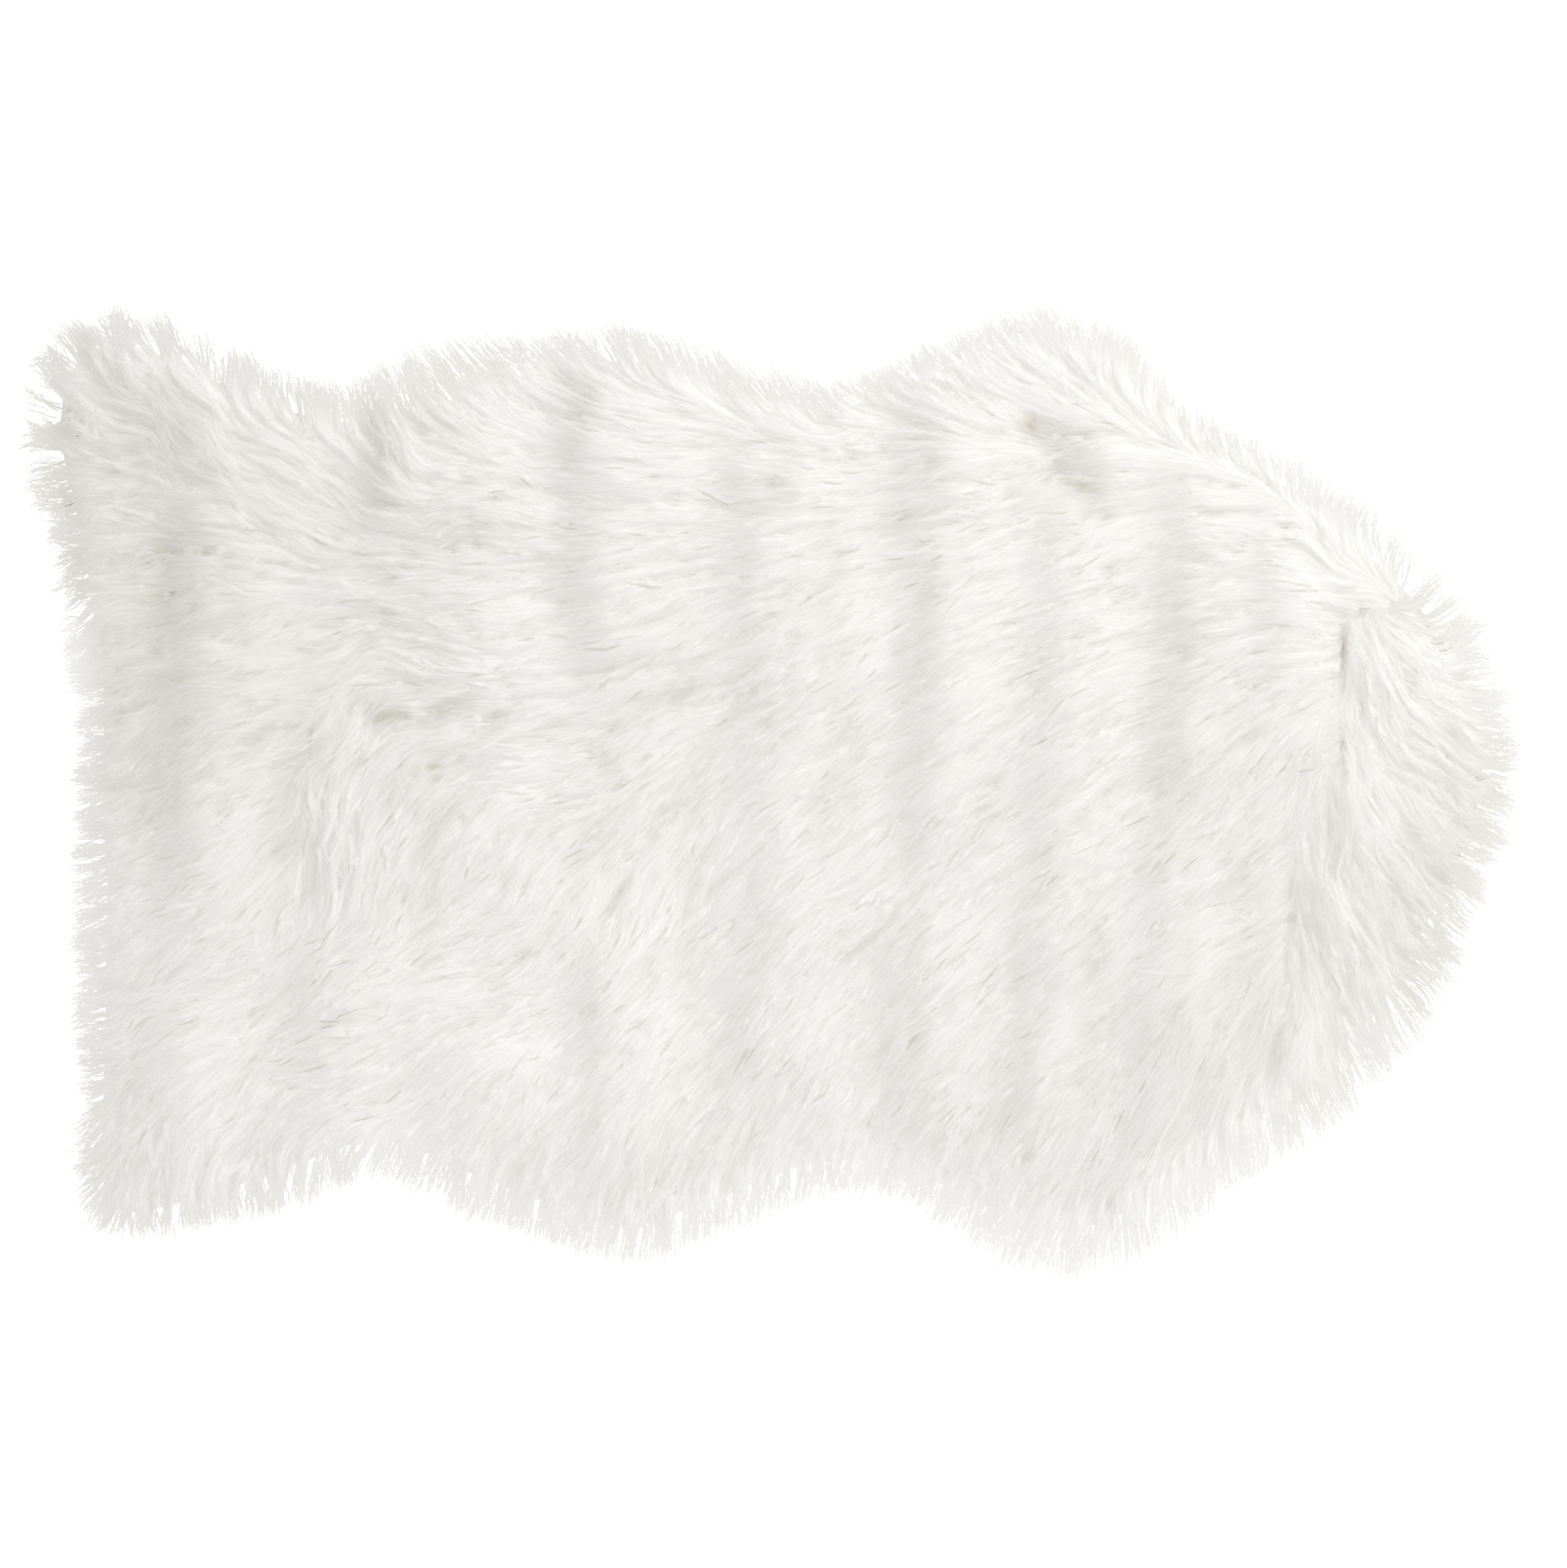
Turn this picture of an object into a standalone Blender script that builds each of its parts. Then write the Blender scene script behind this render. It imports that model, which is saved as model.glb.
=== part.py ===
"""Long-pile sheepskin rug, about 0.9 x 0.6 m, lying flat with the hair side up.

The pelt is one closed solid: a lumpy slab of combed pile on a flat underside, whose rim
runs out in tapering locks of hair that lie down to the floor.
Metres. +X runs to the narrow nose end, +Y to the far long edge, +Z up from the floor.
"""

import math
import random
from collections import namedtuple

import bmesh
import bpy
import numpy as np
from mathutils import Vector
from mathutils.geometry import delaunay_2d_cdt

# Driving dimensions of the pile.
PILE_HEIGHT = 0.024  # combed pile over its underside, between folds
RIM_HEIGHT = 0.008  # pile at the line where the rim locks leave the slab
RIM_LOWEST = 0.75  # share of the rim height at its lowest and highest places
RIM_HIGHEST = 1.15
ROLL_OFF = 0.045  # width over which the pile rounds down to the rim
MIN_HEIGHT = 0.006
OVERHANG = 0.005  # dense pile beyond the edge of the hide
MESH_PITCH = 0.0122  # spacing of the points on the hair side
RIM_CLEARANCE = 0.55  # share of the pitch kept between those points and the rim
RIM_STEPS = 24  # points of the smooth rim for each of its rows

# Locks of hair round the rim.
RIM_LOCKS = 236
LOCK_BEND = 0.45  # share of a lock's length at its bend
LOCK_SPREAD = 7.0  # degrees by which neighbouring locks differ
LOCK_SHORTEST = 0.82  # share of the reach given for its stretch of rim
LOCK_LONGEST = 1.18
LOCK_UNEVEN = 0.28  # share of its width by which a root's edge wanders
LOCK_LEAN_LIMIT = 52.0  # most degrees that a lock leans along the rim
BEND_WIDTH = 0.62  # lock's width at the bend, as a share of its root
BEND_HEIGHT = 0.60

# Folds across the pelt: a steep face towards -X, a long easy slope towards +X.
STEEP_WIDTH = 0.020
EASY_WIDTH = 0.075
FOLD_FADE = 0.035  # length over which a fold's ends die out
FOLD_WANDER = 0.004  # how far a crest strays from its line
FOLD_WANDER_PITCH = 0.085
HOLLOW_WIDTH = 0.030
HOLLOW_SHARE = 0.45  # depth of the hollow at a fold's foot, as a share of its height
HOLLOW_PLACE = -0.026  # middle of the hollow, from the crest
CREST_STEPS = 12

# Overlapping locks that lie on the pile.
LUMP_SPACING = 0.026
LUMP_LENGTH = 0.034
LUMP_WIDTH = 0.012
LUMP_HEIGHT = 0.0042
LUMP_UNEVEN = 0.3  # share of its length by which a lump differs
LUMPS_AT_RIM = 0.35  # share of their height that lumps keep at the rim

# How far a stroke of the comb is felt.
COMB_SOFTNESS = 0.012
COMB_FALL = 3.5

SEED = 11

# The edge of the hide, counter-clockwise from the nose, and how far the hair reaches
# beyond it.
Rim = namedtuple("Rim", "x y reach")
RIM = (
    Rim(0.447, 0.011, 0.018),
    Rim(0.433, 0.069, 0.022),
    Rim(0.406, 0.113, 0.020),
    Rim(0.355, 0.163, 0.022),
    Rim(0.309, 0.197, 0.022),
    Rim(0.256, 0.226, 0.018),
    Rim(0.215, 0.263, 0.020),
    Rim(0.168, 0.275, 0.022),
    Rim(0.109, 0.262, 0.018),
    Rim(0.066, 0.244, 0.018),
    Rim(0.025, 0.234, 0.018),
    Rim(-0.030, 0.242, 0.018),
    Rim(-0.089, 0.266, 0.020),
    Rim(-0.157, 0.257, 0.018),
    Rim(-0.198, 0.243, 0.018),
    Rim(-0.259, 0.228, 0.018),
    Rim(-0.319, 0.241, 0.018),
    Rim(-0.368, 0.264, 0.020),
    Rim(-0.409, 0.278, 0.025),
    Rim(-0.438, 0.262, 0.026),
    Rim(-0.446, 0.220, 0.022),
    Rim(-0.435, 0.166, 0.020),
    Rim(-0.426, 0.110, 0.018),
    Rim(-0.419, 0.054, 0.016),
    Rim(-0.420, -0.002, 0.016),
    Rim(-0.417, -0.067, 0.016),
    Rim(-0.418, -0.143, 0.016),
    Rim(-0.419, -0.210, 0.016),
    Rim(-0.418, -0.257, 0.018),
    Rim(-0.400, -0.269, 0.018),
    Rim(-0.340, -0.254, 0.016),
    Rim(-0.286, -0.235, 0.016),
    Rim(-0.243, -0.223, 0.016),
    Rim(-0.198, -0.240, 0.018),
    Rim(-0.147, -0.260, 0.018),
    Rim(-0.091, -0.278, 0.020),
    Rim(-0.035, -0.260, 0.020),
    Rim(0.025, -0.239, 0.016),
    Rim(0.079, -0.239, 0.016),
    Rim(0.127, -0.262, 0.020),
    Rim(0.180, -0.280, 0.020),
    Rim(0.226, -0.267, 0.022),
    Rim(0.271, -0.234, 0.018),
    Rim(0.304, -0.211, 0.016),
    Rim(0.337, -0.187, 0.018),
    Rim(0.383, -0.138, 0.022),
    Rim(0.413, -0.085, 0.020),
    Rim(0.436, -0.037, 0.018),
)

# Crest of each fold, from its far end through its middle to its near end.
Fold = namedtuple("Fold", "x0 y0 x1 y1 x2 y2 height")
FOLDS = (
    Fold(-0.360, 0.205, -0.362, 0.050, -0.372, -0.110, 0.012),
    Fold(-0.420, 0.272, -0.350, 0.212, -0.285, 0.165, 0.008),
    Fold(-0.272, 0.000, -0.278, -0.092, -0.283, -0.185, 0.007),
    Fold(-0.242, 0.245, -0.238, 0.196, -0.232, 0.145, 0.007),
    Fold(-0.222, -0.145, -0.222, -0.172, -0.222, -0.200, 0.004),
    Fold(-0.122, 0.275, -0.114, 0.165, -0.110, 0.055, 0.010),
    Fold(-0.100, -0.090, -0.107, -0.168, -0.114, -0.245, 0.007),
    Fold(-0.011, 0.236, -0.009, 0.018, -0.012, -0.205, 0.008),
    Fold(-0.041, -0.030, -0.046, -0.062, -0.049, -0.095, 0.006),
    Fold(0.091, 0.270, 0.098, 0.115, 0.098, -0.045, 0.011),
    Fold(0.086, -0.066, 0.085, -0.143, 0.083, -0.220, 0.006),
    Fold(0.179, 0.176, 0.174, -0.032, 0.158, -0.245, 0.008),
    Fold(0.263, 0.206, 0.253, 0.010, 0.229, -0.230, 0.010),
    Fold(0.319, 0.166, 0.311, 0.085, 0.296, 0.010, 0.007),
)

# Dents between locks, each longest along its heading (degrees from +X towards +Y).
Dent = namedtuple("Dent", "x y heading length width depth")
DENTS = (
    Dent(0.356, 0.062, 95, 0.045, 0.010, 0.010),
    Dent(0.326, -0.074, 92, 0.050, 0.010, 0.010),
    Dent(0.174, 0.204, 125, 0.030, 0.012, 0.009),
    Dent(-0.215, 0.043, 10, 0.040, 0.014, 0.009),
    Dent(-0.200, 0.000, 60, 0.020, 0.012, 0.008),
    Dent(-0.314, 0.029, 15, 0.028, 0.012, 0.006),
    Dent(-0.096, -0.073, 55, 0.026, 0.009, 0.007),
    Dent(-0.048, -0.068, 75, 0.024, 0.009, 0.007),
    Dent(-0.013, -0.062, 80, 0.024, 0.009, 0.006),
    Dent(0.030, -0.007, 50, 0.028, 0.010, 0.005),
    Dent(0.134, 0.001, 15, 0.022, 0.009, 0.005),
    Dent(-0.070, 0.045, 20, 0.060, 0.026, 0.004),
)

# The parting between the hair combed over the nose and the hair combed down the body.
PARTING = (
    Vector((0.358, 0.105)),
    Vector((0.356, 0.050)),
    Vector((0.358, 0.000)),
    Vector((0.328, -0.040)),
    Vector((0.324, -0.100)),
    Vector((0.324, -0.140)),
)
ACROSS_PARTING = 0.02  # share of its weight that a comb stroke keeps across the parting

# Which way the hair points, in degrees from +X towards +Y.
Comb = namedtuple("Comb", "x y heading")
COMBING = (
    Comb(0.380, 0.140, 50),
    Comb(0.431, 0.085, 25),
    Comb(0.461, 0.014, 0),
    Comb(0.456, -0.047, -35),
    Comb(0.406, 0.059, -30),
    Comb(0.395, -0.017, -50),
    Comb(0.370, 0.009, -83),
    Comb(0.380, -0.067, -60),
    Comb(0.380, -0.159, -62),
    Comb(0.340, -0.179, -85),
    Comb(0.330, 0.059, 190),
    Comb(0.309, -0.067, 185),
    Comb(0.304, 0.110, 200),
    Comb(0.228, 0.135, 198),
    Comb(0.228, -0.017, 212),
    Comb(0.177, -0.169, 218),
    Comb(0.127, 0.034, 208),
    Comb(0.025, -0.118, 215),
    Comb(-0.025, 0.186, 185),
    Comb(-0.041, 0.100, 218),
    Comb(-0.127, 0.186, 180),
    Comb(0.279, -0.240, 255),
    Comb(0.203, -0.285, 262),
    Comb(0.101, -0.260, 250),
    Comb(-0.025, -0.260, 250),
    Comb(-0.086, -0.291, 262),
    Comb(-0.198, -0.245, 250),
    Comb(-0.304, -0.240, 240),
    Comb(-0.406, -0.265, 262),
    Comb(-0.433, -0.169, 208),
    Comb(-0.433, -0.017, 205),
    Comb(-0.436, 0.115, 225),
    Comb(-0.451, 0.166, 190),
    Comb(-0.456, 0.260, 160),
    Comb(-0.421, 0.295, 100),
    Comb(-0.380, 0.135, 190),
    Comb(-0.330, 0.206, 145),
    Comb(-0.380, 0.034, 207),
    Comb(-0.330, -0.042, 215),
    Comb(-0.380, -0.214, 245),
    Comb(-0.254, -0.143, 200),
    Comb(-0.279, 0.009, 250),
    Comb(-0.167, -0.050, 238),
    Comb(-0.238, 0.247, 115),
    Comb(-0.101, 0.272, 140),
    Comb(0.025, 0.262, 110),
    Comb(0.091, 0.267, 130),
    Comb(0.218, 0.272, 90),
    Comb(0.319, 0.227, 70),
)


def clear_scene():
    for item in list(bpy.data.objects):
        bpy.data.objects.remove(item, do_unlink=True)


def smoothstep(value):
    value = np.clip(value, 0.0, 1.0)
    return value * value * (3.0 - 2.0 * value)


def unit(degrees):
    return np.array((math.cos(math.radians(degrees)), math.sin(math.radians(degrees))))


# ---- the rim ---------------------------------------------------------------------------


def smooth_rim():
    """A smooth closed curve through the rim's rows, as an array of x, y and reach."""
    rows = np.array(RIM)
    before = np.roll(rows, 1, axis=0)
    after = np.roll(rows, -1, axis=0)
    beyond = np.roll(rows, -2, axis=0)
    curve = []
    for t in np.arange(RIM_STEPS) / RIM_STEPS:
        curve.append(
            0.5
            * (
                2.0 * rows
                + (after - before) * t
                + (2.0 * before - 5.0 * rows + 4.0 * after - beyond) * t**2
                + (3.0 * rows - before - 3.0 * after + beyond) * t**3
            )
        )
    return np.stack(curve, axis=1).reshape(-1, 3)


def outward_normals(curve):
    run = np.roll(curve, -1, axis=0) - np.roll(curve, 1, axis=0)
    normals = np.stack((run[:, 1], -run[:, 0]), axis=1)
    return normals / np.linalg.norm(normals, axis=1)[:, None]


def pile_rim(count, rng):
    """The line round the dense pile, in steps that are even but for a small wander."""
    curve = smooth_rim()
    curve[:, :2] += OVERHANG * outward_normals(curve[:, :2])
    closed = np.vstack((curve, curve[:1]))
    steps = np.linalg.norm(np.diff(closed[:, :2], axis=0), axis=1)
    along = np.concatenate(((0.0,), np.cumsum(steps)))
    pitch = along[-1] / count
    wander = [rng.uniform(-LOCK_UNEVEN, LOCK_UNEVEN) for _ in range(count)]
    wanted = (np.arange(count) + 0.5 + np.array(wander)) * pitch
    return np.stack([np.interp(wanted, along, column) for column in closed.T], axis=1)


def rim_distance(points, rim):
    """How far each point lies from the rim."""
    start = rim[:, :2]
    run = np.roll(start, -1, axis=0) - start
    from_start = points[:, None, :] - start[None]
    share = (from_start * run).sum(2) / (run**2).sum(1)
    gap = from_start - np.clip(share, 0.0, 1.0)[:, :, None] * run
    return np.linalg.norm(gap, axis=2).min(axis=1)


def inside_rim(points, rim):
    """Whether each point lies inside the rim, by counting the rim edges above it."""
    x0, y0 = rim[:, 0], rim[:, 1]
    x1, y1 = np.roll(x0, -1), np.roll(y0, -1)
    x = points[:, 0][:, None]
    y = points[:, 1][:, None]
    spans = (x0 > x) != (x1 > x)
    rise = np.where(x1 != x0, x1 - x0, 1.0)
    crossing = y0 + (x - x0) / rise * (y1 - y0)
    return (spans & (crossing > y)).sum(axis=1) % 2 == 1


def field_points(rim):
    """Points of a triangular lattice inside the rim, in straight columns along Y."""
    low = rim[:, :2].min(axis=0)
    high = rim[:, :2].max(axis=0)
    column_pitch = MESH_PITCH * math.sqrt(0.75)
    columns = []
    for column in range(int((high[0] - low[0]) / column_pitch) + 1):
        shift = MESH_PITCH / 2 * (column % 2)
        ys = np.arange(low[1] + shift, high[1], MESH_PITCH)
        columns.append(np.stack((np.full_like(ys, low[0] + column * column_pitch), ys), axis=1))
    points = np.concatenate(columns)
    points = points[inside_rim(points, rim)]
    return points[rim_distance(points, rim) > RIM_CLEARANCE * MESH_PITCH]


# ---- the combing -----------------------------------------------------------------------


def crosses_parting(points, target):
    """Whether the straight line from each point to the target crosses the parting."""
    crossed = np.zeros(len(points), dtype=bool)
    for start, end in zip(PARTING, PARTING[1:]):
        run = np.array(end - start)
        sight = target - points
        offset = np.array(start) - points
        turn = sight[:, 0] * run[1] - sight[:, 1] * run[0]
        turn = np.where(np.abs(turn) < 1e-12, 1e-12, turn)
        on_sight = (offset[:, 0] * run[1] - offset[:, 1] * run[0]) / turn
        on_parting = (offset[:, 0] * sight[:, 1] - offset[:, 1] * sight[:, 0]) / turn
        crossed |= (on_sight > 0) & (on_sight < 1) & (on_parting > 0) & (on_parting < 1)
    return crossed


def hair_direction(points):
    """Unit direction of the hair at each point, blended from the nearest comb strokes."""
    total = np.zeros((len(points), 2))
    for comb in COMBING:
        place = np.array((comb.x, comb.y))
        distance = np.linalg.norm(points - place, axis=1)
        weight = (distance**2 + COMB_SOFTNESS**2) ** (-COMB_FALL / 2)
        weight *= np.where(crosses_parting(points, place), ACROSS_PARTING, 1.0)
        total += weight[:, None] * unit(comb.heading)
    return total / np.linalg.norm(total, axis=1)[:, None]


# ---- the height of the pile ------------------------------------------------------------


def edge_profile(distance):
    share = np.clip(distance / ROLL_OFF, 0.0, 1.0)
    rise = np.sqrt(1.0 - (1.0 - share) ** 2)
    return RIM_HEIGHT + (PILE_HEIGHT - RIM_HEIGHT) * rise


def crest_points(fold):
    """Points along a fold's crest, a curve that passes through its three places."""
    start = np.array((fold.x0, fold.y0))
    middle = np.array((fold.x1, fold.y1))
    end = np.array((fold.x2, fold.y2))
    t = np.linspace(0.0, 1.0, CREST_STEPS)[:, None]
    control = 2.0 * middle - (start + end) / 2.0
    return (1 - t) ** 2 * start + 2 * t * (1 - t) * control + t**2 * end


def fold_height(points, fold):
    """A fold's height at each point, from the signed distance to its crest."""
    crest = crest_points(fold)
    start = crest[:-1]
    run = np.diff(crest, axis=0)
    length = np.linalg.norm(run, axis=1)
    from_start = points[:, None, :] - start[None]
    share = (from_start * run).sum(2) / length**2
    gap = from_start - np.clip(share, 0.0, 1.0)[:, :, None] * run
    reach = np.linalg.norm(gap, axis=2)
    nearest = reach.argmin(axis=1)
    every = np.arange(len(points))
    turn = run[:, 0] * from_start[:, :, 1] - run[:, 1] * from_start[:, :, 0]
    side = np.sign(turn[every, nearest])  # +1 on the side of +X of a crest drawn far to near
    along = (nearest + np.clip(share[every, nearest], 0.0, 1.0)) * length.mean()
    stray = np.sin(2 * math.pi * (along + fold.x0) / FOLD_WANDER_PITCH)
    across = side * reach[every, nearest] + FOLD_WANDER * stray
    whole = length.sum()
    fade = smoothstep(along / FOLD_FADE) * smoothstep((whole - along) / FOLD_FADE)
    easy = 1.0 - smoothstep(across / EASY_WIDTH)
    steep = smoothstep(1.0 + across / STEEP_WIDTH)
    ridge = np.where(across > 0.0, easy, steep)
    hollow = np.exp(-(((across - HOLLOW_PLACE) / HOLLOW_WIDTH) ** 2))
    return fold.height * fade * (ridge - HOLLOW_SHARE * hollow)


def stretched_bump(points, place, direction, length, width):
    """A bump of height 1, longest along a direction."""
    offset = points - place
    along = offset @ direction
    across = offset @ np.array((-direction[1], direction[0]))
    return np.exp(-((along / length) ** 2) - (across / width) ** 2)


def lump_height(points, rng):
    """Overlapping locks that lie along the hair, scattered evenly over the pile."""
    low = points.min(axis=0)
    high = points.max(axis=0)
    places = []
    for x in np.arange(low[0], high[0], LUMP_SPACING):
        for y in np.arange(low[1], high[1], LUMP_SPACING):
            shift = (rng.uniform(-0.5, 0.5), rng.uniform(-0.5, 0.5))
            places.append(np.array((x, y)) + LUMP_SPACING * np.array(shift))
    directions = hair_direction(np.array(places))
    total = np.zeros(len(points))
    for place, direction in zip(places, directions):
        height = LUMP_HEIGHT * rng.uniform(-1.0, 1.0)
        length = LUMP_LENGTH * rng.uniform(1.0 - LUMP_UNEVEN, 1.0 + LUMP_UNEVEN)
        total += height * stretched_bump(points, place, direction, length, LUMP_WIDTH)
    return total


def pile_height(points, rim, rng):
    distance = rim_distance(points, rim)
    inland = smoothstep(distance / ROLL_OFF)
    height = edge_profile(distance)
    for fold in FOLDS:
        height += fold_height(points, fold) * inland
    for dent in DENTS:
        place = np.array((dent.x, dent.y))
        bump = stretched_bump(points, place, unit(dent.heading), dent.length, dent.width)
        height -= dent.depth * bump
    height += lump_height(points, rng) * (LUMPS_AT_RIM + (1.0 - LUMPS_AT_RIM) * inland)
    return np.maximum(height, MIN_HEIGHT)


# ---- the pelt --------------------------------------------------------------------------


def add_slab(mesh, rim, rng):
    """The flat underside, the lumpy hair side and the wall between them round the rim."""
    inner = field_points(rim)
    flat = np.concatenate((rim[:, :2], inner))
    heights = np.concatenate((np.full(len(rim), RIM_HEIGHT), pile_height(inner, rim, rng)))
    heights[: len(rim)] *= [rng.uniform(RIM_LOWEST, RIM_HIGHEST) for _ in rim]
    ring = list(range(len(rim)))
    outline = [(here, (here + 1) % len(rim)) for here in ring]
    points = [Vector(place) for place in flat]
    places, _, triangles, sources, _, _ = delaunay_2d_cdt(points, outline, [], 1, 1e-7)
    hair_side = [
        mesh.verts.new((place.x, place.y, heights[source[0]]))
        for place, source in zip(places, sources)
    ]
    for triangle in triangles:
        mesh.faces.new([hair_side[corner] for corner in triangle])
    by_source = {source[0]: vert for vert, source in zip(hair_side, sources)}
    upper = [by_source[here] for here in ring]
    lower = [mesh.verts.new((place[0], place[1], 0.0)) for place in rim]
    mesh.faces.new(lower[::-1])
    walls = []
    for here, after in outline:
        walls.append(mesh.faces.new((lower[here], lower[after], upper[after], upper[here])))
    return walls


def lock_leans(middle, outward, rng):
    """Angles from straight outwards: the combing's, held in its limit, and the lock's own."""
    combed = hair_direction(middle[None])[0]
    lean = math.atan2(outward[0] * combed[1] - outward[1] * combed[0], combed @ outward)
    limit = math.radians(LOCK_LEAN_LIMIT)
    lean = max(-limit, min(limit, lean))
    spread = math.radians(rng.uniform(-LOCK_SPREAD, LOCK_SPREAD))
    return lean, lean + spread


def turned(vector, angle):
    cos, sin = math.cos(angle), math.sin(angle)
    return np.array((vector[0] * cos - vector[1] * sin, vector[0] * sin + vector[1] * cos))


def draw_lock(mesh, wall, start, end, rng):
    """Draws a wall face out into a four-sided lock that ends in a point on the floor."""
    run = end[:2] - start[:2]
    outward = np.array((run[1], -run[0])) / np.linalg.norm(run)
    middle = (start[:2] + end[:2]) / 2
    lean, last_lean = lock_leans(middle, outward, rng)
    reach = (start[2] + end[2]) / 2 * rng.uniform(LOCK_SHORTEST, LOCK_LONGEST) - OVERHANG
    length = reach / math.cos(lean)
    bend = middle + turned(outward, (lean + last_lean) / 2) * length * LOCK_BEND
    tip = bend + turned(outward, last_lean) * length * (1.0 - LOCK_BEND)
    bent = bmesh.ops.extrude_discrete_faces(mesh, faces=[wall])["faces"][0]
    for vert in bent.verts:
        vert.co.xy = bend + (np.array(vert.co.xy) - middle) * BEND_WIDTH
        vert.co.z *= BEND_HEIGHT
    drawn = bmesh.ops.extrude_discrete_faces(mesh, faces=[bent])["faces"][0]
    bmesh.ops.pointmerge(mesh, verts=drawn.verts[:], merge_co=(tip[0], tip[1], 0.0))


def centre_on_floor(mesh):
    """Puts the middle of the pelt's box over the origin."""
    places = np.array([vert.co for vert in mesh.verts])
    middle = (places.min(axis=0) + places.max(axis=0)) / 2
    shift = Vector((-middle[0], -middle[1], 0.0))
    bmesh.ops.translate(mesh, verts=mesh.verts, vec=shift)


def pile_material():
    material = bpy.data.materials.new("white_pile")
    material.use_nodes = True
    shader = material.node_tree.nodes["Principled BSDF"]
    shader.inputs["Base Color"].default_value = (0.90, 0.89, 0.86, 1.0)
    shader.inputs["Roughness"].default_value = 0.8
    shader.inputs["Metallic"].default_value = 0.0
    return material


def add_sheepskin():
    rng = random.Random(SEED)
    mesh = bmesh.new()
    rim = pile_rim(RIM_LOCKS, rng)
    walls = add_slab(mesh, rim, rng)
    for wall, start, end in zip(walls, rim, np.roll(rim, -1, axis=0)):
        draw_lock(mesh, wall, start, end, rng)
    centre_on_floor(mesh)
    bmesh.ops.recalc_face_normals(mesh, faces=mesh.faces)
    data = bpy.data.meshes.new("sheepskin")
    mesh.to_mesh(data)
    mesh.free()
    data.shade_smooth()
    data.set_sharp_from_angle(angle=math.radians(60))
    data.materials.append(pile_material())
    sheepskin = bpy.data.objects.new("sheepskin", data)
    bpy.context.scene.collection.objects.link(sheepskin)
    return sheepskin


clear_scene()
add_sheepskin()
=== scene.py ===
"""Long-pile sheepskin rug: its hide, woolly undercoat and combed locks of hair.

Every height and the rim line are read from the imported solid, in metres, +Z up.
"""

import math

import bpy
import numpy as np
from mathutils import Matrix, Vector
from mathutils.bvhtree import BVHTree
from mathutils.kdtree import KDTree


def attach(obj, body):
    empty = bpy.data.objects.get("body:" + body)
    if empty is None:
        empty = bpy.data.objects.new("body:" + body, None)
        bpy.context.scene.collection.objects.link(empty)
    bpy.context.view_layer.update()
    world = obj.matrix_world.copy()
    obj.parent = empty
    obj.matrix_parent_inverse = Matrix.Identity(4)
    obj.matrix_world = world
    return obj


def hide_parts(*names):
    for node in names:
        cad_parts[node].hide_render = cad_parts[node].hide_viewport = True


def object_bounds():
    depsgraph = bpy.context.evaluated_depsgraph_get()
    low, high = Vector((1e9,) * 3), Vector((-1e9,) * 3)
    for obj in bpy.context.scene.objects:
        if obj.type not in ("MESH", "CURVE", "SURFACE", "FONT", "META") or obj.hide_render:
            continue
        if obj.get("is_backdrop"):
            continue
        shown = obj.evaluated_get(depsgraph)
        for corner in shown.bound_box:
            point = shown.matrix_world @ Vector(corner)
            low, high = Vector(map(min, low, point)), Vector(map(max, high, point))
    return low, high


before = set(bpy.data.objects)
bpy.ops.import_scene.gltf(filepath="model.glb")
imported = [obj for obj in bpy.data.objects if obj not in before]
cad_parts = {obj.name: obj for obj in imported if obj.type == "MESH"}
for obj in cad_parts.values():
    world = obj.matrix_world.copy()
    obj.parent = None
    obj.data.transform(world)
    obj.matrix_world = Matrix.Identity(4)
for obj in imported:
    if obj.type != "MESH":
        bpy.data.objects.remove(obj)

CAD_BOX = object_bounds()
LOW, HIGH = (np.array(corner[:2]) for corner in CAD_BOX)
NODE = "sheepskin"
BODY = "root"
SEED = 23

# The slab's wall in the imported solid: each of its upper points is right above one on the floor.
FLOOR_LEVEL = 0.0005  # the floor's points are below this,
WALL_TOP = (0.0057, 0.0095)  # the wall's upper ones between these
RIGHT_ABOVE = 0.00002  # how far apart they may be, seen from above

# The map on which heights and directions are kept.
MAP_PITCH = 0.003
MAP_MARGIN = 0.036
MAP_EDGE = 1.001  # cells short of its size, up to which it is read
SMOOTHING = (0.0045, 0.0130)  # takes out the solid's facets; folds run along Y
POINTS_AT_ONCE = 8000  # that are measured against the rim together
WALL_LEVEL = 0.0075  # height of the hair that leaves the wall,
WALL_FALL = 0.026  # how far out it would reach the floor,
LEAST_LEVEL = 0.12  # and the least share of its height
NOISE_SPAN = 2.4  # side of the square that noise covers

# Clumps of hair, drawn out along the combing, and the furrows between them.
CLUMP_PITCH = 0.0012  # of the map on which they are kept
CLUMP_GRAINS = ((0.0050, 4), (0.0028, 6), (0.0100, 3))  # widths, and half lengths in widths
CLUMP_RELIEF = 0.0025
CLUMP_SWELL = 0.35  # how much clumps differ in height
CLUMP_LEVEL = 0.4  # their mean height, where a furrow is 1 deep
CLUMP_BLUR = 0.001
CLUMP_EDGE = 0.012  # how far in from the rim they begin
FURROW = 0.32  # how wide a furrow is, as a share of a clump's own variation
GRAINS = (700, 500)  # cells of the noise that is drawn out

# How the pile's own surface is shaded.
FOLD_SHADING = 1.6  # folds shade as if they were so many times as steep
STEEPEST = 0.46  # slope at which the shading stops deepening
RIM_LEVEL = (0.030, 0.060)  # how far in it levels out: least, and more at the long sides
OWN_SHADING = 0.20  # share of a hair's own normal in its shading
# Painted light: the hair is painted paler near the rim.
PAINTED_LIGHT_BAND = 0.030  # how far in from the rim the hair is painted paler
PAINTED_LIGHT_SIDES = (0.60, 0.40)  # how much paler at the ends; and more on the near side, less on the far
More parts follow.
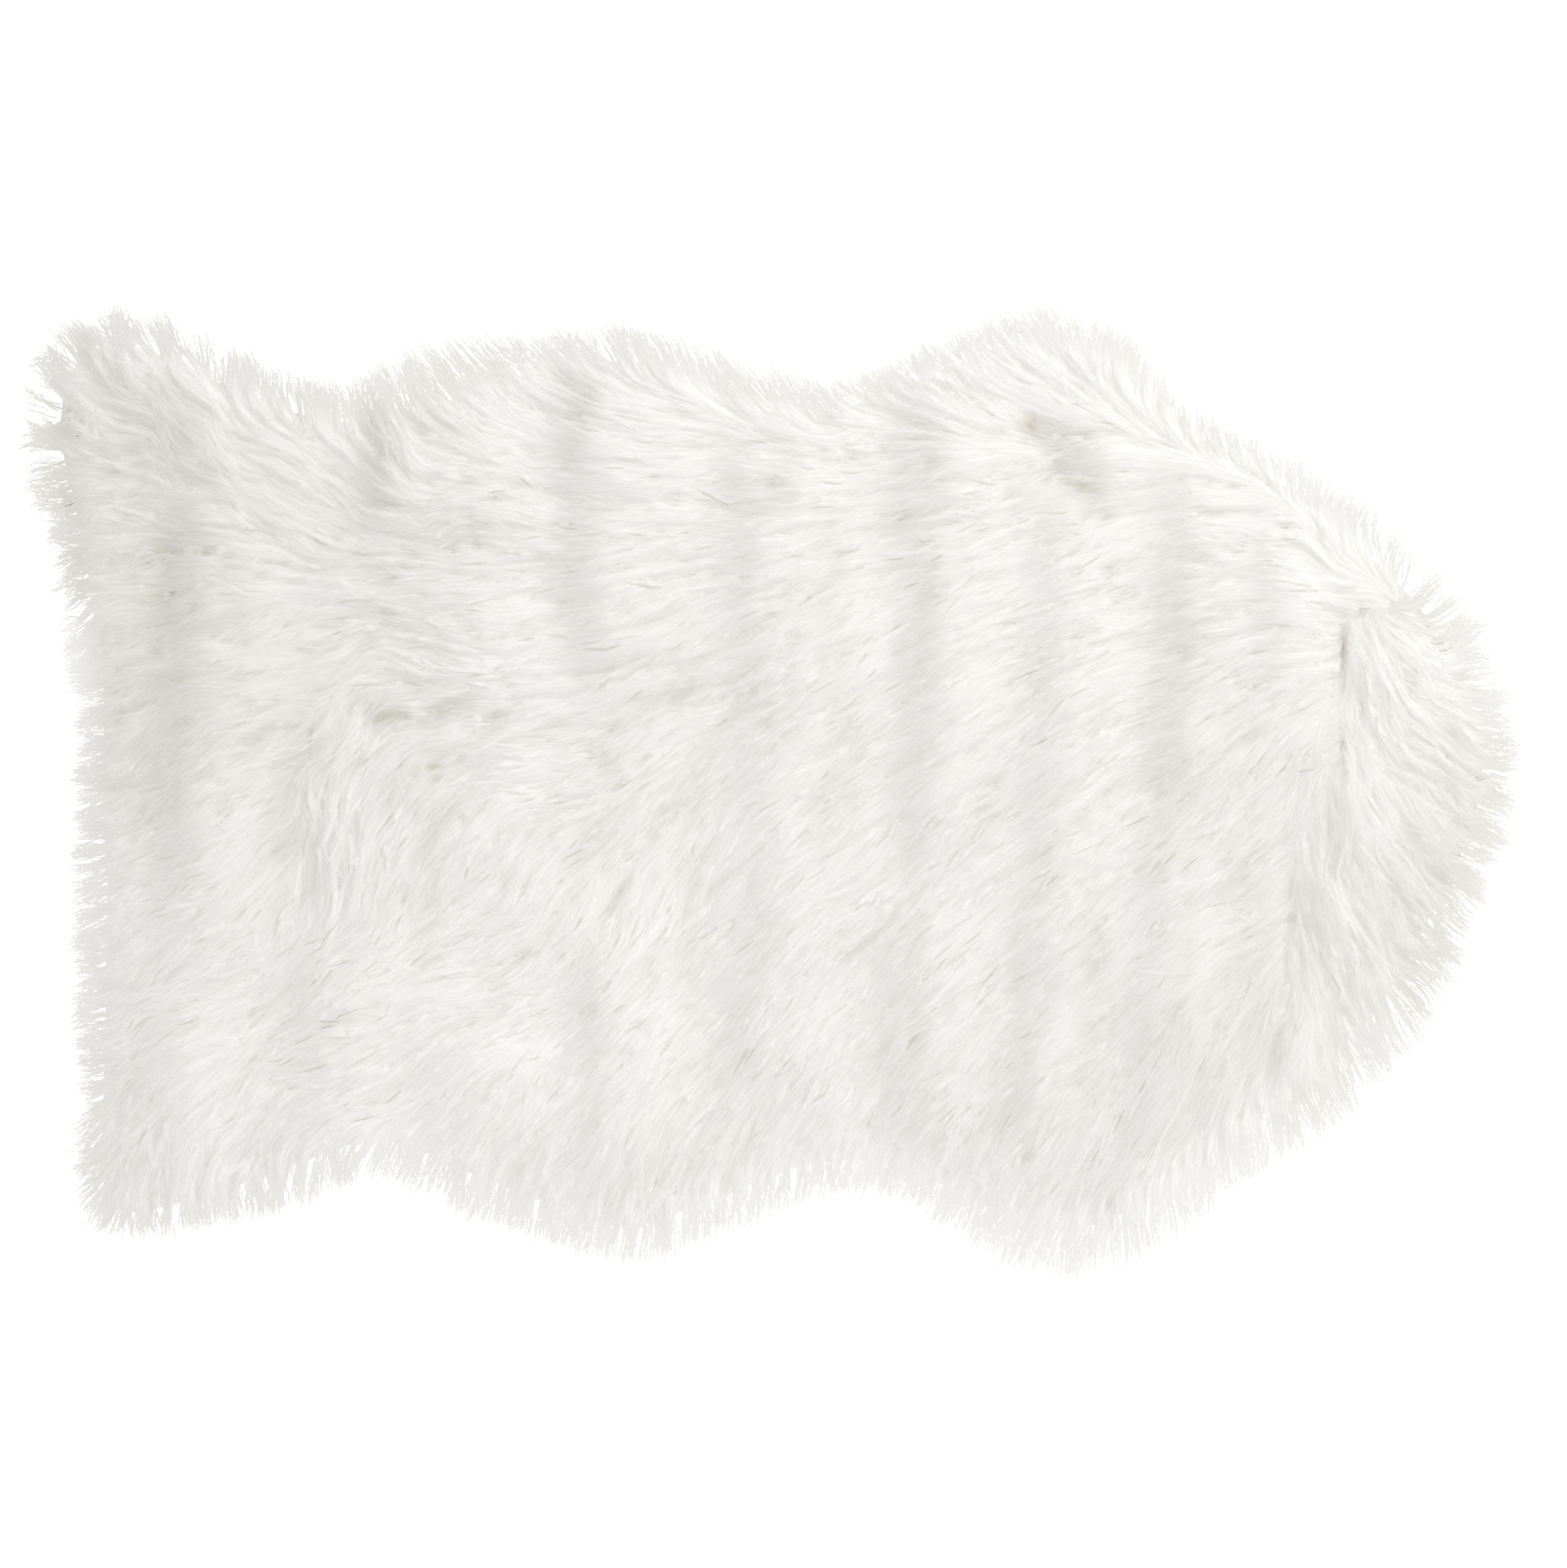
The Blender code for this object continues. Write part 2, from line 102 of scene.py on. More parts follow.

# Waves in the combing.
WAVE_PITCH = 0.015
WAVE_TURN = math.radians(30.0)
BODY_WAVES = 0.15  # share of this turn on the body
RIM_WAVES = 0.45  # and what the rim adds

# The hide.
HIDE_THICKNESS = 0.0024
HIDE_INSET = 0.010

# The undercoat, a woolly bed in which the locks root.
UNDERCOAT_PITCH = 0.0031
UNDERCOAT_SHARE = 0.970  # of the pile's height
UNDERCOAT_FLOOR = 0.0030
UNDERCOAT_WALL = 0.001  # its least thickness
UNDERCOAT_INSET = 0.006
UNDERCOAT_ROOM = 0.3  # least distance of its grid from its edge, in pitches
GAP_SHARE = 0.13  # by how much of the pile's height a gap is sunk
RAGGED = (0.85, 0.3)  # share of a gap's depth, and how much it varies from place to place
RAGGED_PITCH = 0.007

# Where neighbouring hairs turn away from each other the pile parts.
LEAST_SPREAD = 8.0  # per metre, from which it does
SPREAD_RANGE = 34.0  # and fully so at this much more
SPREAD_BLUR = 0.0078
PART_SHARE = 0.07  # by how much of its height the pile is sunk there

# Locks of hair: flat tapering bundles that lie on each other like shingles.
LOCK_PITCH = 0.0076  # spacing of the locks' roots
RIM_LOCK_PITCH = 0.0085  # of the further locks rooted near the rim
PARTING_PITCH = 0.0042  # of the further locks rooted where the pile parts
JITTER = 0.45  # how far roots stray from their lattice, as a share of its pitch
ROOT_INSET = 0.0015  # least distance of a root from the rim,
RIM_ROOT_INSET = 0.001  # and of the further ones near it
RIM_BAND = 0.022  # how far in they go, and the hair turns outwards
LOCK_LENGTH = 0.054
TUFT_LENGTHS = (0.85, 1.15)  # shares of it that a tuft's locks have, and
OWN_LENGTHS = (0.84, 1.08)  # each lock among them
LOCK_WIDTH = 0.0036
OWN_WIDTHS = (0.6, 1.25)  # shares of it that the locks have
LEAST_FULLNESS = 0.45  # a short lock is narrower, down to this share
LOCK_RIDGE = 0.09  # height of a lock's ridge, as a share of its width
LOCK_SPREAD = 1.15  # times the width of the band of hairs on it
LOCK_KNOTS = 6
FULLEST = 0.3  # share of its length at which a lock is widest
TAPER = 1.5  # the higher, the blunter its tip
RIM_THINNING = 0.5  # how much narrower it is beyond the wall
THINNING_BAND = 0.008  # over which it narrows, half of it inside the rim
BEND_ROOM = 0.5  # a strand's half width is at most this share of its bend's radius
LEAST_ANGLE = 0.01  # in radians, taken for a straight strand
ROOT_LEVEL = 0.985  # height of a lock's root, as a share of the pile's
OWN_LEVELS = (-0.012, 0.010)  # how much lower or higher a lock lies
LAY = 1.3  # how soon a lock rises from its root to the pile's surface
TIP_FLICK = 0.0012  # how far a tip stands up at the most,
OWN_ARCH = 0.0005  # and a lock's middle
TIP_WAVE = (0.0006, 0.0026)  # how far it waves sideways, and what wildness adds
WAVES_A_LOCK = 1.3
RUN_SPAN = 0.04  # share of a lock over which its direction is taken
LOWEST_HAIR = 0.0009
PASSING = 0.002  # a lock passes the rim if its tip is less far inside
CROSSING = (0.25, 1.0)  # part of a lock that mustn't lie across a gap
CROSSING_STEPS = 8
GAP_CLEAR = 0.5  # a lock that crosses a gap less open than this stays

# How far the hair stands beyond the slab's wall.
RIM_REACH = 0.0178
RIM_FLARE = 0.9  # how strongly the hair turns outwards at the rim
OWN_REACHES = (0.58, 1.06)  # shares of it that each lock has
TUFT_REACHES = (0.45, 1.4)  # and that a tuft's locks have together
TOGETHER = 0.8  # how far a wild tuft's locks end together,
TOGETHER_RANGE = (0.08, 0.85)  # within these limits,
CALM_APART = 0.8  # and how much less at a calm rim
REACH_DRIFT = 0.16  # how much reach changes from place to place
REACH_PITCH = 0.020
WILD_REACH = 0.35  # how much further wild hair stands

# How a lock is drawn through the combing.
GUIDE_STEPS = 12
STEP_BEND = math.radians(20.0)  # the most that a lock bends in one of them
WIDEST_BEND = math.radians(75.0)  # it keeps its run where the combing turns more
LEAST_KEPT = 0.12  # of a lock that is cut at its reach
CALM_BAND = 0.050  # along the rim, but for the tail end's, in which locks lie evenly
CALMING = 0.7  # how much less they sway and curl there
DRIFT = math.radians(8.0)  # neighbours sway together
DRIFT_PITCH = 0.038
OWN_SWAY = math.radians(3.0)
OWN_CURL = math.radians(5.0)
WILD_CURL = 1.8
CURL_MIDDLE = 0.3  # share of a lock at which its curl turns it neither way
TANGLED = 0.03  # share of the locks that lie across the others,
TANGLE = 0.5  # by this share of the turn below,
PARTED_TANGLE = 0.45  # and of all the locks where the pile parts
TANGLE_TURN = math.radians(28.0)

# Tufts: neighbouring locks that sway together and draw towards each other.
TUFT_PITCH = 0.0110
TUFT_PULL = 0.9
TUFT_SWAY = math.radians(6.0)
TUFT_CURL = math.radians(13.0)

# Single hairs on the locks.
HAIRS_PER_LOCK = 3
SPARED_SHARE = 0.4  # of the locks, that have one hair fewer
RIM_HAIRS = 2  # more of them on a lock that passes the rim
RIM_FAN = 0.0042  # how far they spread sideways beyond it
FAN_BAND = 0.012  # over which the fan opens
FAN_START = 0.3  # share of this band that lies inside the rim
HAIR_STARTS = (0.05, 0.5)  # shares of the lock at which they begin and end
HAIR_ENDS = (0.85, 1.0)
PAST_RIM = (0.0, 0.20)  # how much further they run on a lock that passes the rim
ACROSS_SHARE = 0.9  # of a lock's width, over which they spread,
ACROSS_MORE = 0.0004  # and this much more
STRAY = 0.0014  # how far a hair leaves its lock,
STRAYED = (0.15, 2.0)  # the share that leaves it further, and by how many times more
HAIR_LIFTS = (0.0, 0.0004)  # how high it lies over it
RIDGE_FALL = 0.8  # how much less it is lifted at the lock's edge
HAIR_RADIUS = 0.00030
HAIR_RADII = (0.6, 1.3)  # shares of it that the hairs have
HAIR_SHAPE = np.array((0.8, 1.0, 0.8, 0.0))  # share of its radius at each knot
HAIR_FLATNESS = 0.4  # its height, as a share of its width
HAIR_KNOTS = len(HAIR_SHAPE)

# Short wisps that lie over some of the locks, and dark hairs beside them painted as their shadows.
WISP_SHARE = 0.12  # of the locks, that have a wisp
WISP_STARTS = (0.25, 0.65)  # where on the lock it begins
WISP_SPAN = 0.28  # its length, as a share of the lock's
WISP_ARCH = 0.0007
WISP_SINK = 0.0002  # how far its ends go under
WISP_INSET = 0.016  # no wisp lies nearer to the rim
WISP_EDGE = 0.08  # share of it over which its root keeps its width
WISP_ROUNDING = 0.7
SHADED_SPAN = (0.18, 0.38)  # length of the dark hair painted as its shadow, as a share of the lock's
SHADED_DELAY = 0.03  # how much further on than the wisp it begins
SHADED_ASIDE = (0.42, 0.0002)  # how far aside it lies: a share of the lock's width, and more
SHADED_RADIUS = 0.00095
SHADED_RADII = (0.7, 1.2)
SHADED_SHAPE = np.array((0.3, 1.0, 0.8, 0.0))
SHADED_FLATNESS = 0.3
PAINTED_SHADOW_DARKNESS = (0.22, 0.64)  # how dark the painted shadow is
SHADED_LIFT = 0.0010
LIGHT = np.array((0.8, 0.6))  # where the light comes from, seen from above; the painted shadows lie on the side away from it

# How loosely the hair lies along the rug.
FAR_CORNER = np.array((-0.44, 0.23))  # of the tail end
FAR_AROUND = 0.09
WILD_TAIL = (-0.28, 0.26)  # where along X its loose hair begins to settle, over how far
WILD_NOSE = (0.34, 0.05)  # where the nose end's begins, over how far
WILDNESS = (0.45, 0.5, 0.9)  # at the tail end, at the nose end and at the far corner
SHAGGY_TAIL = (-0.47, 0.06)  # where along X its rim begins to lie even, over how far
SHAGGINESS = 0.5  # of the tail end's rim

# The pieces, from the tail end on.
LOCK_PIECES = ("tail", "waist", "nose")
HAIR_PIECES = ("tail", "back", "shoulder", "nose")

# The tables are in millimetres, from their own origin.

# By how much further the hair stands beyond the wall about a place on the rim: x, y, more.
REACHES = (
    (-195, 250, 21), (-99, 275, 3), (-290, 235, 0), (-3, 235, 10), (93, 240, -3), (188, 270, 6),
    (284, 220, -6), (380, 150, 3), (455, 0, 4), (380, -170, 15), (284, -240, 12), (188, -285, 12),
    (93, -250, 0), (-3, -240, 5), (-100, -285, 3), (-195, -245, 6), (-290, -225, 1),
    (-386, -260, -5), (-440, -270, -6), (-440, -50, 0), (-440, 100, -2), (-450, 250, -3),
)
REACH_AROUND = 0.050

# Which way the hair points: x, y and its heading, in degrees from +X towards +Y.
COMBING = (
    # over the nose
    (412, 124, 38), (431, 85, 25), (461, 14, -12), (456, -47, -38), (431, -93, -50),
    (403, 98, -30), (375, 85, -72), (403, 59, -45), (380, 44, -68), (426, 34, -38), (421, -7, -45),
    (395, -17, -52), (370, -17, -70), (357, -22, -83), (340, -67, -80), (380, -67, -60),
    (411, -57, -50), (355, -118, -72), (380, -159, -62), (340, -189, -88),
    # beside the parting
    (335, 75, 182), (330, 49, 205), (332, 19, 232), (340, -17, 258), (309, -47, 215),
    (309, -83, 205), (299, -143, 228), (309, -184, 252), (309, 105, 195), (289, 59, 208),
    (299, 9, 222), (279, -37, 218), (330, 115, 178), (319, 156, 185), (374, 121, 186),
    (388, 132, 125), (372, 142, 160), (398, 147, 72),
    # shoulder
    (228, 135, 200), (254, 186, 186), (294, 176, 181), (203, 206, 183), (152, 186, 196),
    (172, 242, 150), (152, 272, 142), (117, 277, 140), (218, 272, 96), (264, 257, 88),
    (319, 227, 80), (355, 186, 66), (235, 240, 138), (280, 222, 128), (322, 196, 122),
    (345, 155, 120), (127, 135, 200), (127, 34, 212), (76, 85, 212), (177, -17, 216),
    (228, -17, 214), (228, -118, 222), (177, -169, 224), (254, -194, 240), (127, -118, 222),
    # back
    (76, -67, 220), (25, -118, 224), (25, -17, 216), (25, 85, 208), (76, 176, 192), (51, 227, 177),
    (0, 237, 168), (-25, 186, 185), (91, 267, 138), (25, 262, 118), (-25, 135, 196),
    (-41, 100, 212), (-76, 44, 203), (-25, 9, 220), (-51, -32, 236), (-96, -73, 240),
    (-76, -118, 225), (-35, -184, 228),
    # waist
    (-127, 186, 181), (-127, 115, 188), (-137, 44, 188), (-147, 4, 190), (-167, -47, 232),
    (-198, 176, 178), (-208, 115, 182), (-254, 135, 180), (-264, 85, 204), (-228, 80, 154),
    (-218, 44, 185), (-259, 34, 255), (-276, -17, 262), (-279, -67, 258), (-243, -57, 248),
    (-213, -37, 236), (-177, -113, 200), (-167, -143, 188), (-198, -174, 222), (-238, -108, 215),
    (-127, -169, 222), (-127, -108, 222),
    # tail
    (-304, 59, 192), (-314, 4, 196), (-330, -42, 215), (-309, -93, 225), (-330, -118, 214),
    (-254, -143, 202), (-289, -184, 212), (-355, -143, 205), (-380, -42, 203), (-380, 34, 205),
    (-380, 105, 195), (-350, 161, 172), (-319, 206, 150), (-360, 247, 145), (-395, 272, 130),
    (-289, 166, 150), (-279, 247, 122), (-243, 206, 122), (-390, -169, 215), (-380, -220, 248),
    (-330, -209, 232),
    # far rim
    (-238, 247, 112), (-198, 227, 148), (-177, 252, 145), (-147, 267, 150), (-101, 272, 150),
    (-51, 252, 158), (-76, 206, 176), (-157, 206, 174),
    # near rim
    (279, -240, 250), (203, -285, 262), (152, -270, 250), (177, -230, 238), (101, -260, 250),
    (101, -209, 235), (46, -240, 252), (25, -194, 232), (-25, -260, 250), (-86, -291, 262),
    (-86, -240, 245), (-157, -265, 255), (-152, -209, 235), (-198, -245, 248), (-243, -240, 235),
    (-254, -204, 198), (-304, -245, 245), (-355, -250, 258), (-406, -265, 262), (-421, -235, 255),
    # tail rim
    (-433, -169, 208), (-433, -67, 208), (-421, 9, 200), (-433, 34, 208), (-436, 115, 225),
    (-451, 166, 190), (-461, 216, 175), (-456, 277, 155), (-436, 295, 130), (-421, 300, 100),
)
COMB_SOFTNESS = 0.012
COMB_FALL = 3.5

# The parting between the hair combed over the nose and the hair combed down the body,
# in metres from the tables' origin.
PARTING_LINE = (
    (0.386, 0.109), (0.358, 0.105), (0.356, 0.050), (0.358, 0.000), (0.328, -0.040),
    (0.324, -0.100), (0.324, -0.140),
)
PARTING = [Vector(place) for place in PARTING_LINE]
ACROSS_PARTING = 0.02  # how much a comb stroke counts on its other side

# Where the hair stands open, sunk a little and darkened with painted shade: x, y, heading, length along
# it, width, and depth from 0 to 1.
GAPS_AND_SHADE = (
    # cracks: at the parting, in the whorl and on the body
    (358, 77, 94, 23, 2.2, 1.0), (357, 22, 82, 16, 2, 0.9), (326, -77, 91, 24, 2, 0.7),
    (166, 222, 135, 12, 7.2, 0.97), (178, 205, 126, 16, 5, 0.94), (193, 187, 156, 17, 4.4, 0.94),
    (-238, 44, 12, 13, 7, 0.85), (-198, 49, 18, 17, 6.4, 0.85), (-170, 44, 5, 10, 6, 0.6),
    (-208, 6, 110, 10, 6, 0.95), (-196, -18, 165, 12, 4, 0.7), (-318, 30, 40, 12, 6, 0.7),
    (-288, 26, 80, 12, 4, 0.7), (-238, 106, 150, 10, 4, 0.6), (-283, -45, 80, 26, 2.6, 0.6),
    (-238, -73, 70, 16, 3, 0.5), (-98, -73, 55, 16, 4, 0.6), (-50, -70, 75, 18, 4, 0.6),
    (-13, -63, 80, 14, 3.6, 0.5), (30, -7, 50, 18, 3.6, 0.5), (134, 1, 12, 14, 3.6, 0.5),
    (-236, 205, 120, 18, 5, 0.5),
    # the broad hollow at the tail end, mostly painted shade
    (-386, 100, 92, 160, 48, 0.49), (-385, 155, 165, 40, 20, 0.53), (-380, 213, 138, 70, 15, 0.46),
    (-436, 200, 95, 50, 20, 0.4), (-414, 255, 130, 30, 10, 0.55), (-443, 205, 100, 12, 8, 0.5),
    (-441, 232, 60, 8, 5, 0.5), (-391, 163, 150, 18, 12, 0.6),
    # shallow hollows, mostly painted shade
    (-290, 165, 160, 110, 60, 0.3), (-246, 200, 92, 45, 12, 0.6), (-213, 225, 150, 30, 20, 0.36),
    (-339, 125, 100, 50, 25, 0.45), (-285, 20, 170, 30, 15, 0.4), (-213, -10, 140, 22, 14, 0.45),
    (-300, 60, 100, 70, 45, 0.3), (42, 80, 95, 100, 16, 0.28), (42, -20, 60, 30, 20, 0.33),
    (103, 205, 92, 30, 12, 0.38), (172, 172, 120, 35, 20, 0.4), (135, -20, 80, 30, 14, 0.32),
    (262, 50, 88, 110, 45, 0.31), (300, -130, 60, 90, 50, 0.36), (420, -50, 70, 100, 50, 0.45),
    (405, -115, 60, 45, 35, 0.46), (300, -50, 80, 50, 25, 0.36), (98, 110, 90, 30, 14, 0.36),
    (-66, 53, 30, 30, 12, 0.38), (-330, 50, 100, 50, 20, 0.38), (-375, 222, 140, 30, 12, 0.56),
    (352, 0, 92, 70, 12, 0.34),
    # folds, and further hollows, with painted shade along them
    (92, -125, 91, 100, 10, 0.32), (-111, -165, 88, 70, 11, 0.3), (156, -150, 91, 90, 10, 0.26),
    (256, -130, 86, 70, 12, 0.42), (200, -130, 88, 80, 13, 0.38), (-213, -45, 86, 90, 13, 0.4),
    (-307, -36, 88, 70, 17, 0.4), (-378, 118, 92, 70, 42, 0.62), (-436, 130, 92, 30, 12, 0.56),
    (-290, 20, 90, 30, 26, 0.44), (-200, 160, 175, 60, 16, 0.42), (-370, 238, 140, 30, 13, 0.6),
    (-118, 232, 80, 34, 13, 0.46), (8, 194, 90, 26, 13, 0.42), (199, 192, 130, 30, 18, 0.46),
    (345, -190, 60, 50, 30, 0.38), (311, 110, 95, 55, 11, 0.34), (-52, -120, 88, 50, 10, 0.28),
)

# Painted light, where the hair is painted paler: the near side of the tail end and the backs of folds:
# x, y, how wide along X, how long along Y, and how much paler.
PAINTED_LIGHT_PLACES = (
    (-200, -165, 200, 100, 0.45), (-23, -25, 12, 95, 0.5), (-150, -15, 16, 100, 0.45),
    (-434, 79, 16, 45, 0.6), (103, -45, 12, 35, 0.45), (-76, -68, 10, 40, 0.45),
    (228, 206, 22, 20, 0.5), (326, 125, 20, 22, 0.4), (-180, 75, 16, 18, 0.45),
)
TO_MIDDLE = np.array((0.0030, -0.0019))  # where that origin is, from the rug's middle, in metres

# Ramps: the place of each colour on its ramp, and the colour.
WHITE = (1.0, 1.0, 1.0)
# darker and yellower towards the root: partly the hair's own tint, partly painted shade of the pile over
# it
ROOT_SHADE_TO_TIP = ((0.0, (0.893, 0.885, 0.861)), (0.45, (0.921, 0.916, 0.902)), (1.0, (0.939, 0.936, 0.927)))
TONES = ((0.0, (0.972, 0.968, 0.955)), (1.0, WHITE))
PATCHES = ((0.3, (1.0, 0.994, 0.98)), (0.7, WHITE))
STREAKS = ((0.3, (0.945, 0.942, 0.933)), (0.6, WHITE))
# painted shade: darker and yellower in the furrows between clumps
FURROW_SHADE = ((0.05, (0.80, 0.79, 0.765)), (0.45, (0.965, 0.963, 0.953)), (0.75, WHITE))
# painted shade where the hair stands open, and for the painted wisp shadows
OPEN_HAIR_SHADE = ((0.10, WHITE), (0.5, (0.88, 0.870, 0.843)), (1.0, (0.68, 0.655, 0.565)))
# painted light: the hair is painted paler near the rim and at the listed places
PAINTED_LIGHT = ((0.0, (0.0, 0.0, 0.0)), (1.0, (0.12, 0.12, 0.13)))
# the undercoat's fine lines, darker than the hair: partly its own lines, partly painted shade between
# the locks
WOOL_LINES_AND_SHADE = ((0.40, (0.80, 0.79, 0.75)), (0.62, (0.95, 0.94, 0.92)))
SUEDE = ((0.3, (0.74, 0.68, 0.58)), (0.7, (0.83, 0.78, 0.70)))
FLOOR_TINT = ((0.3, (0.93, 0.93, 0.93)), (0.7, (0.95, 0.95, 0.95)))
HAIR_FINISH = {"Sheen Weight": 0.15, "Sheen Roughness": 0.4, "Specular IOR Level": 0.35}

# Fine lines on the hair: how often they change across a lock, along it and from lock to lock.
FIBRES = (("across", 2.6, "X"), ("along", 1.4, "Y"), ("tone", 97.0, "Z"))
LINE_HEADINGS = 8
LINE_SIZE = (0.020, 0.0011, 1.0)  # length and width
LINE_SHARPNESS = 4.0
LINE_SUM = 1.48  # about what the weights of all headings add up to

# The stage.
PHOTO_WIDTH = 1931
METRES_PER_PIXEL = 0.000507
PHOTO_CENTRE = (0.0109, -0.0014)  # the frame's middle, from the rug's
PILE_LEVEL = 0.02  # height at which the picture's scale holds
LENS = 85.0
SENSOR = 36.0
FLOOR_CORNERS = ((-6.0, -6.0), (6.0, -6.0), (6.0, 6.0), (-6.0, 6.0))
FLOOR_DROP = 0.0004  # how far it is below the rug, so that no faces coincide
FLOOR_GLOW = 0.6
WORLD_LIGHT = 0.657
KEY = ((2.0, 1.5, 3.4), 2.4, 72.0)  # a light's place, size and power
WINDOW = ((0.40, 0.80, 0.60), 0.4, 0.42)

random = np.random.default_rng(SEED)


def in_metres(*millimetres):
    return np.array(millimetres) / 1000


def unit(degrees):
    return np.array((math.cos(math.radians(degrees)), math.sin(math.radians(degrees))))


def smoothstep(value):
    value = np.clip(value, 0.0, 1.0)
    return value * value * (3.0 - 2.0 * value)


def normalized(vectors):
    return vectors / np.maximum(np.linalg.norm(vectors, axis=-1, keepdims=True), 1e-9)


def cross(first, second):
    return first[..., 0] * second[..., 1] - first[..., 1] * second[..., 0]


def turned(vectors, angle):
    cos, sin = np.cos(angle), np.sin(angle)
    x, y = vectors[..., 0], vectors[..., 1]
    return np.stack((x * cos - y * sin, x * sin + y * cos), axis=-1)


def grid(xs, ys):
    return np.stack(np.meshgrid(xs, ys, indexing="ij"), axis=2)


def interpolated(field, place, ease=np.asarray):
    """A grid's value at places between its points, counted in its cells."""
    cell = place.astype(int)
    x, y = cell[..., 0], cell[..., 1]
    share = ease(place - cell)
    if field.ndim == 3:
        share = share[..., None, :]
    fx, fy = share[..., 0], share[..., 1]
    near = field[x, y] * (1 - fx) + field[x + 1, y] * fx
    far = field[x, y + 1] * (1 - fx) + field[x + 1, y + 1] * fx
    return near * (1 - fy) + far * fy


def smooth_noise(points, pitch):
    """Noise from -1 to 1 that changes over a pitch."""
    count = int(NOISE_SPAN / pitch) + 3
    values = random.uniform(-1.0, 1.0, (count, count))
    return interpolated(values, (points + NOISE_SPAN / 2) / pitch, smoothstep)


def planar_tree(points):
    """Finds the nearest of these points, all taken as lying on the floor."""
    tree = KDTree(len(points))
    for index, point in enumerate(points):
        tree.insert((point[0], point[1], 0.0), index)
    tree.balance()
    return tree


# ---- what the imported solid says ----


def solid_points():
    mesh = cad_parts[NODE].data
    points = np.empty(len(mesh.vertices) * 3)
    mesh.vertices.foreach_get("co", points)
    return points.reshape(-1, 3)


def read_rim(points):
    """The slab's wall line: places where an upper point stands right above one on the floor."""
    raised = points[(points[:, 2] > WALL_TOP[0]) & (points[:, 2] < WALL_TOP[1])]
    tree = planar_tree(points[points[:, 2] < FLOOR_LEVEL])
    rim = [p[:2] for p in raised if tree.find((p[0], p[1], 0.0))[2] < RIGHT_ABOVE]
    rim = np.unique(np.round(np.array(rim), 6), axis=0)
    return rim[np.argsort(np.arctan2(rim[:, 1], rim[:, 0]))]


def rim_distance(points, rim):
    """How far each point lies from the rim line."""
    run = np.roll(rim, -1, axis=0) - rim
    found = np.empty(len(points))
    for part in np.array_split(np.arange(len(points)), max(1, len(points) // POINTS_AT_ONCE)):
        from_start = points[part][:, None, :] - rim[None]
        share = np.clip((from_start * run).sum(2) / (run**2).sum(1), 0.0, 1.0)
        gap = from_start - share[:, :, None] * run
        found[part] = np.sqrt((gap**2).sum(2).min(1))
    return found


def inside_rim(points, rim):
    """Whether each point lies inside the rim, by counting the rim edges above it."""
    x0, y0 = rim[:, 0], rim[:, 1]
    x1, y1 = np.roll(x0, -1), np.roll(y0, -1)
    x, y = points[:, :1], points[:, 1:]
    spans = (x0 > x) != (x1 > x)
    rise = np.where(x1 != x0, x1 - x0, 1.0)
    crossing = y0 + (x - x0) / rise * (y1 - y0)
    return (spans & (crossing > y)).sum(axis=1) % 2 == 1


def blurred(field, along_x, along_y, pitch=MAP_PITCH):
    """A Gaussian blur of a map, by so much along each axis."""
    for axis, radius in ((0, along_x / pitch), (1, along_y / pitch)):
        steps = np.arange(-math.ceil(3 * radius), math.ceil(3 * radius) + 1)
        weights = np.exp(-0.5 * (steps / radius) ** 2)
        weights /= weights.sum()
        pad = [(len(steps) // 2, len(steps) // 2) if a == axis else (0, 0) for a in (0, 1)]
        padded = np.pad(field, pad, mode="edge")
        field = sum(
            weight * np.take(padded, np.arange(field.shape[axis]) + step, axis=axis)
            for step, weight in enumerate(weights)
        )
    return field


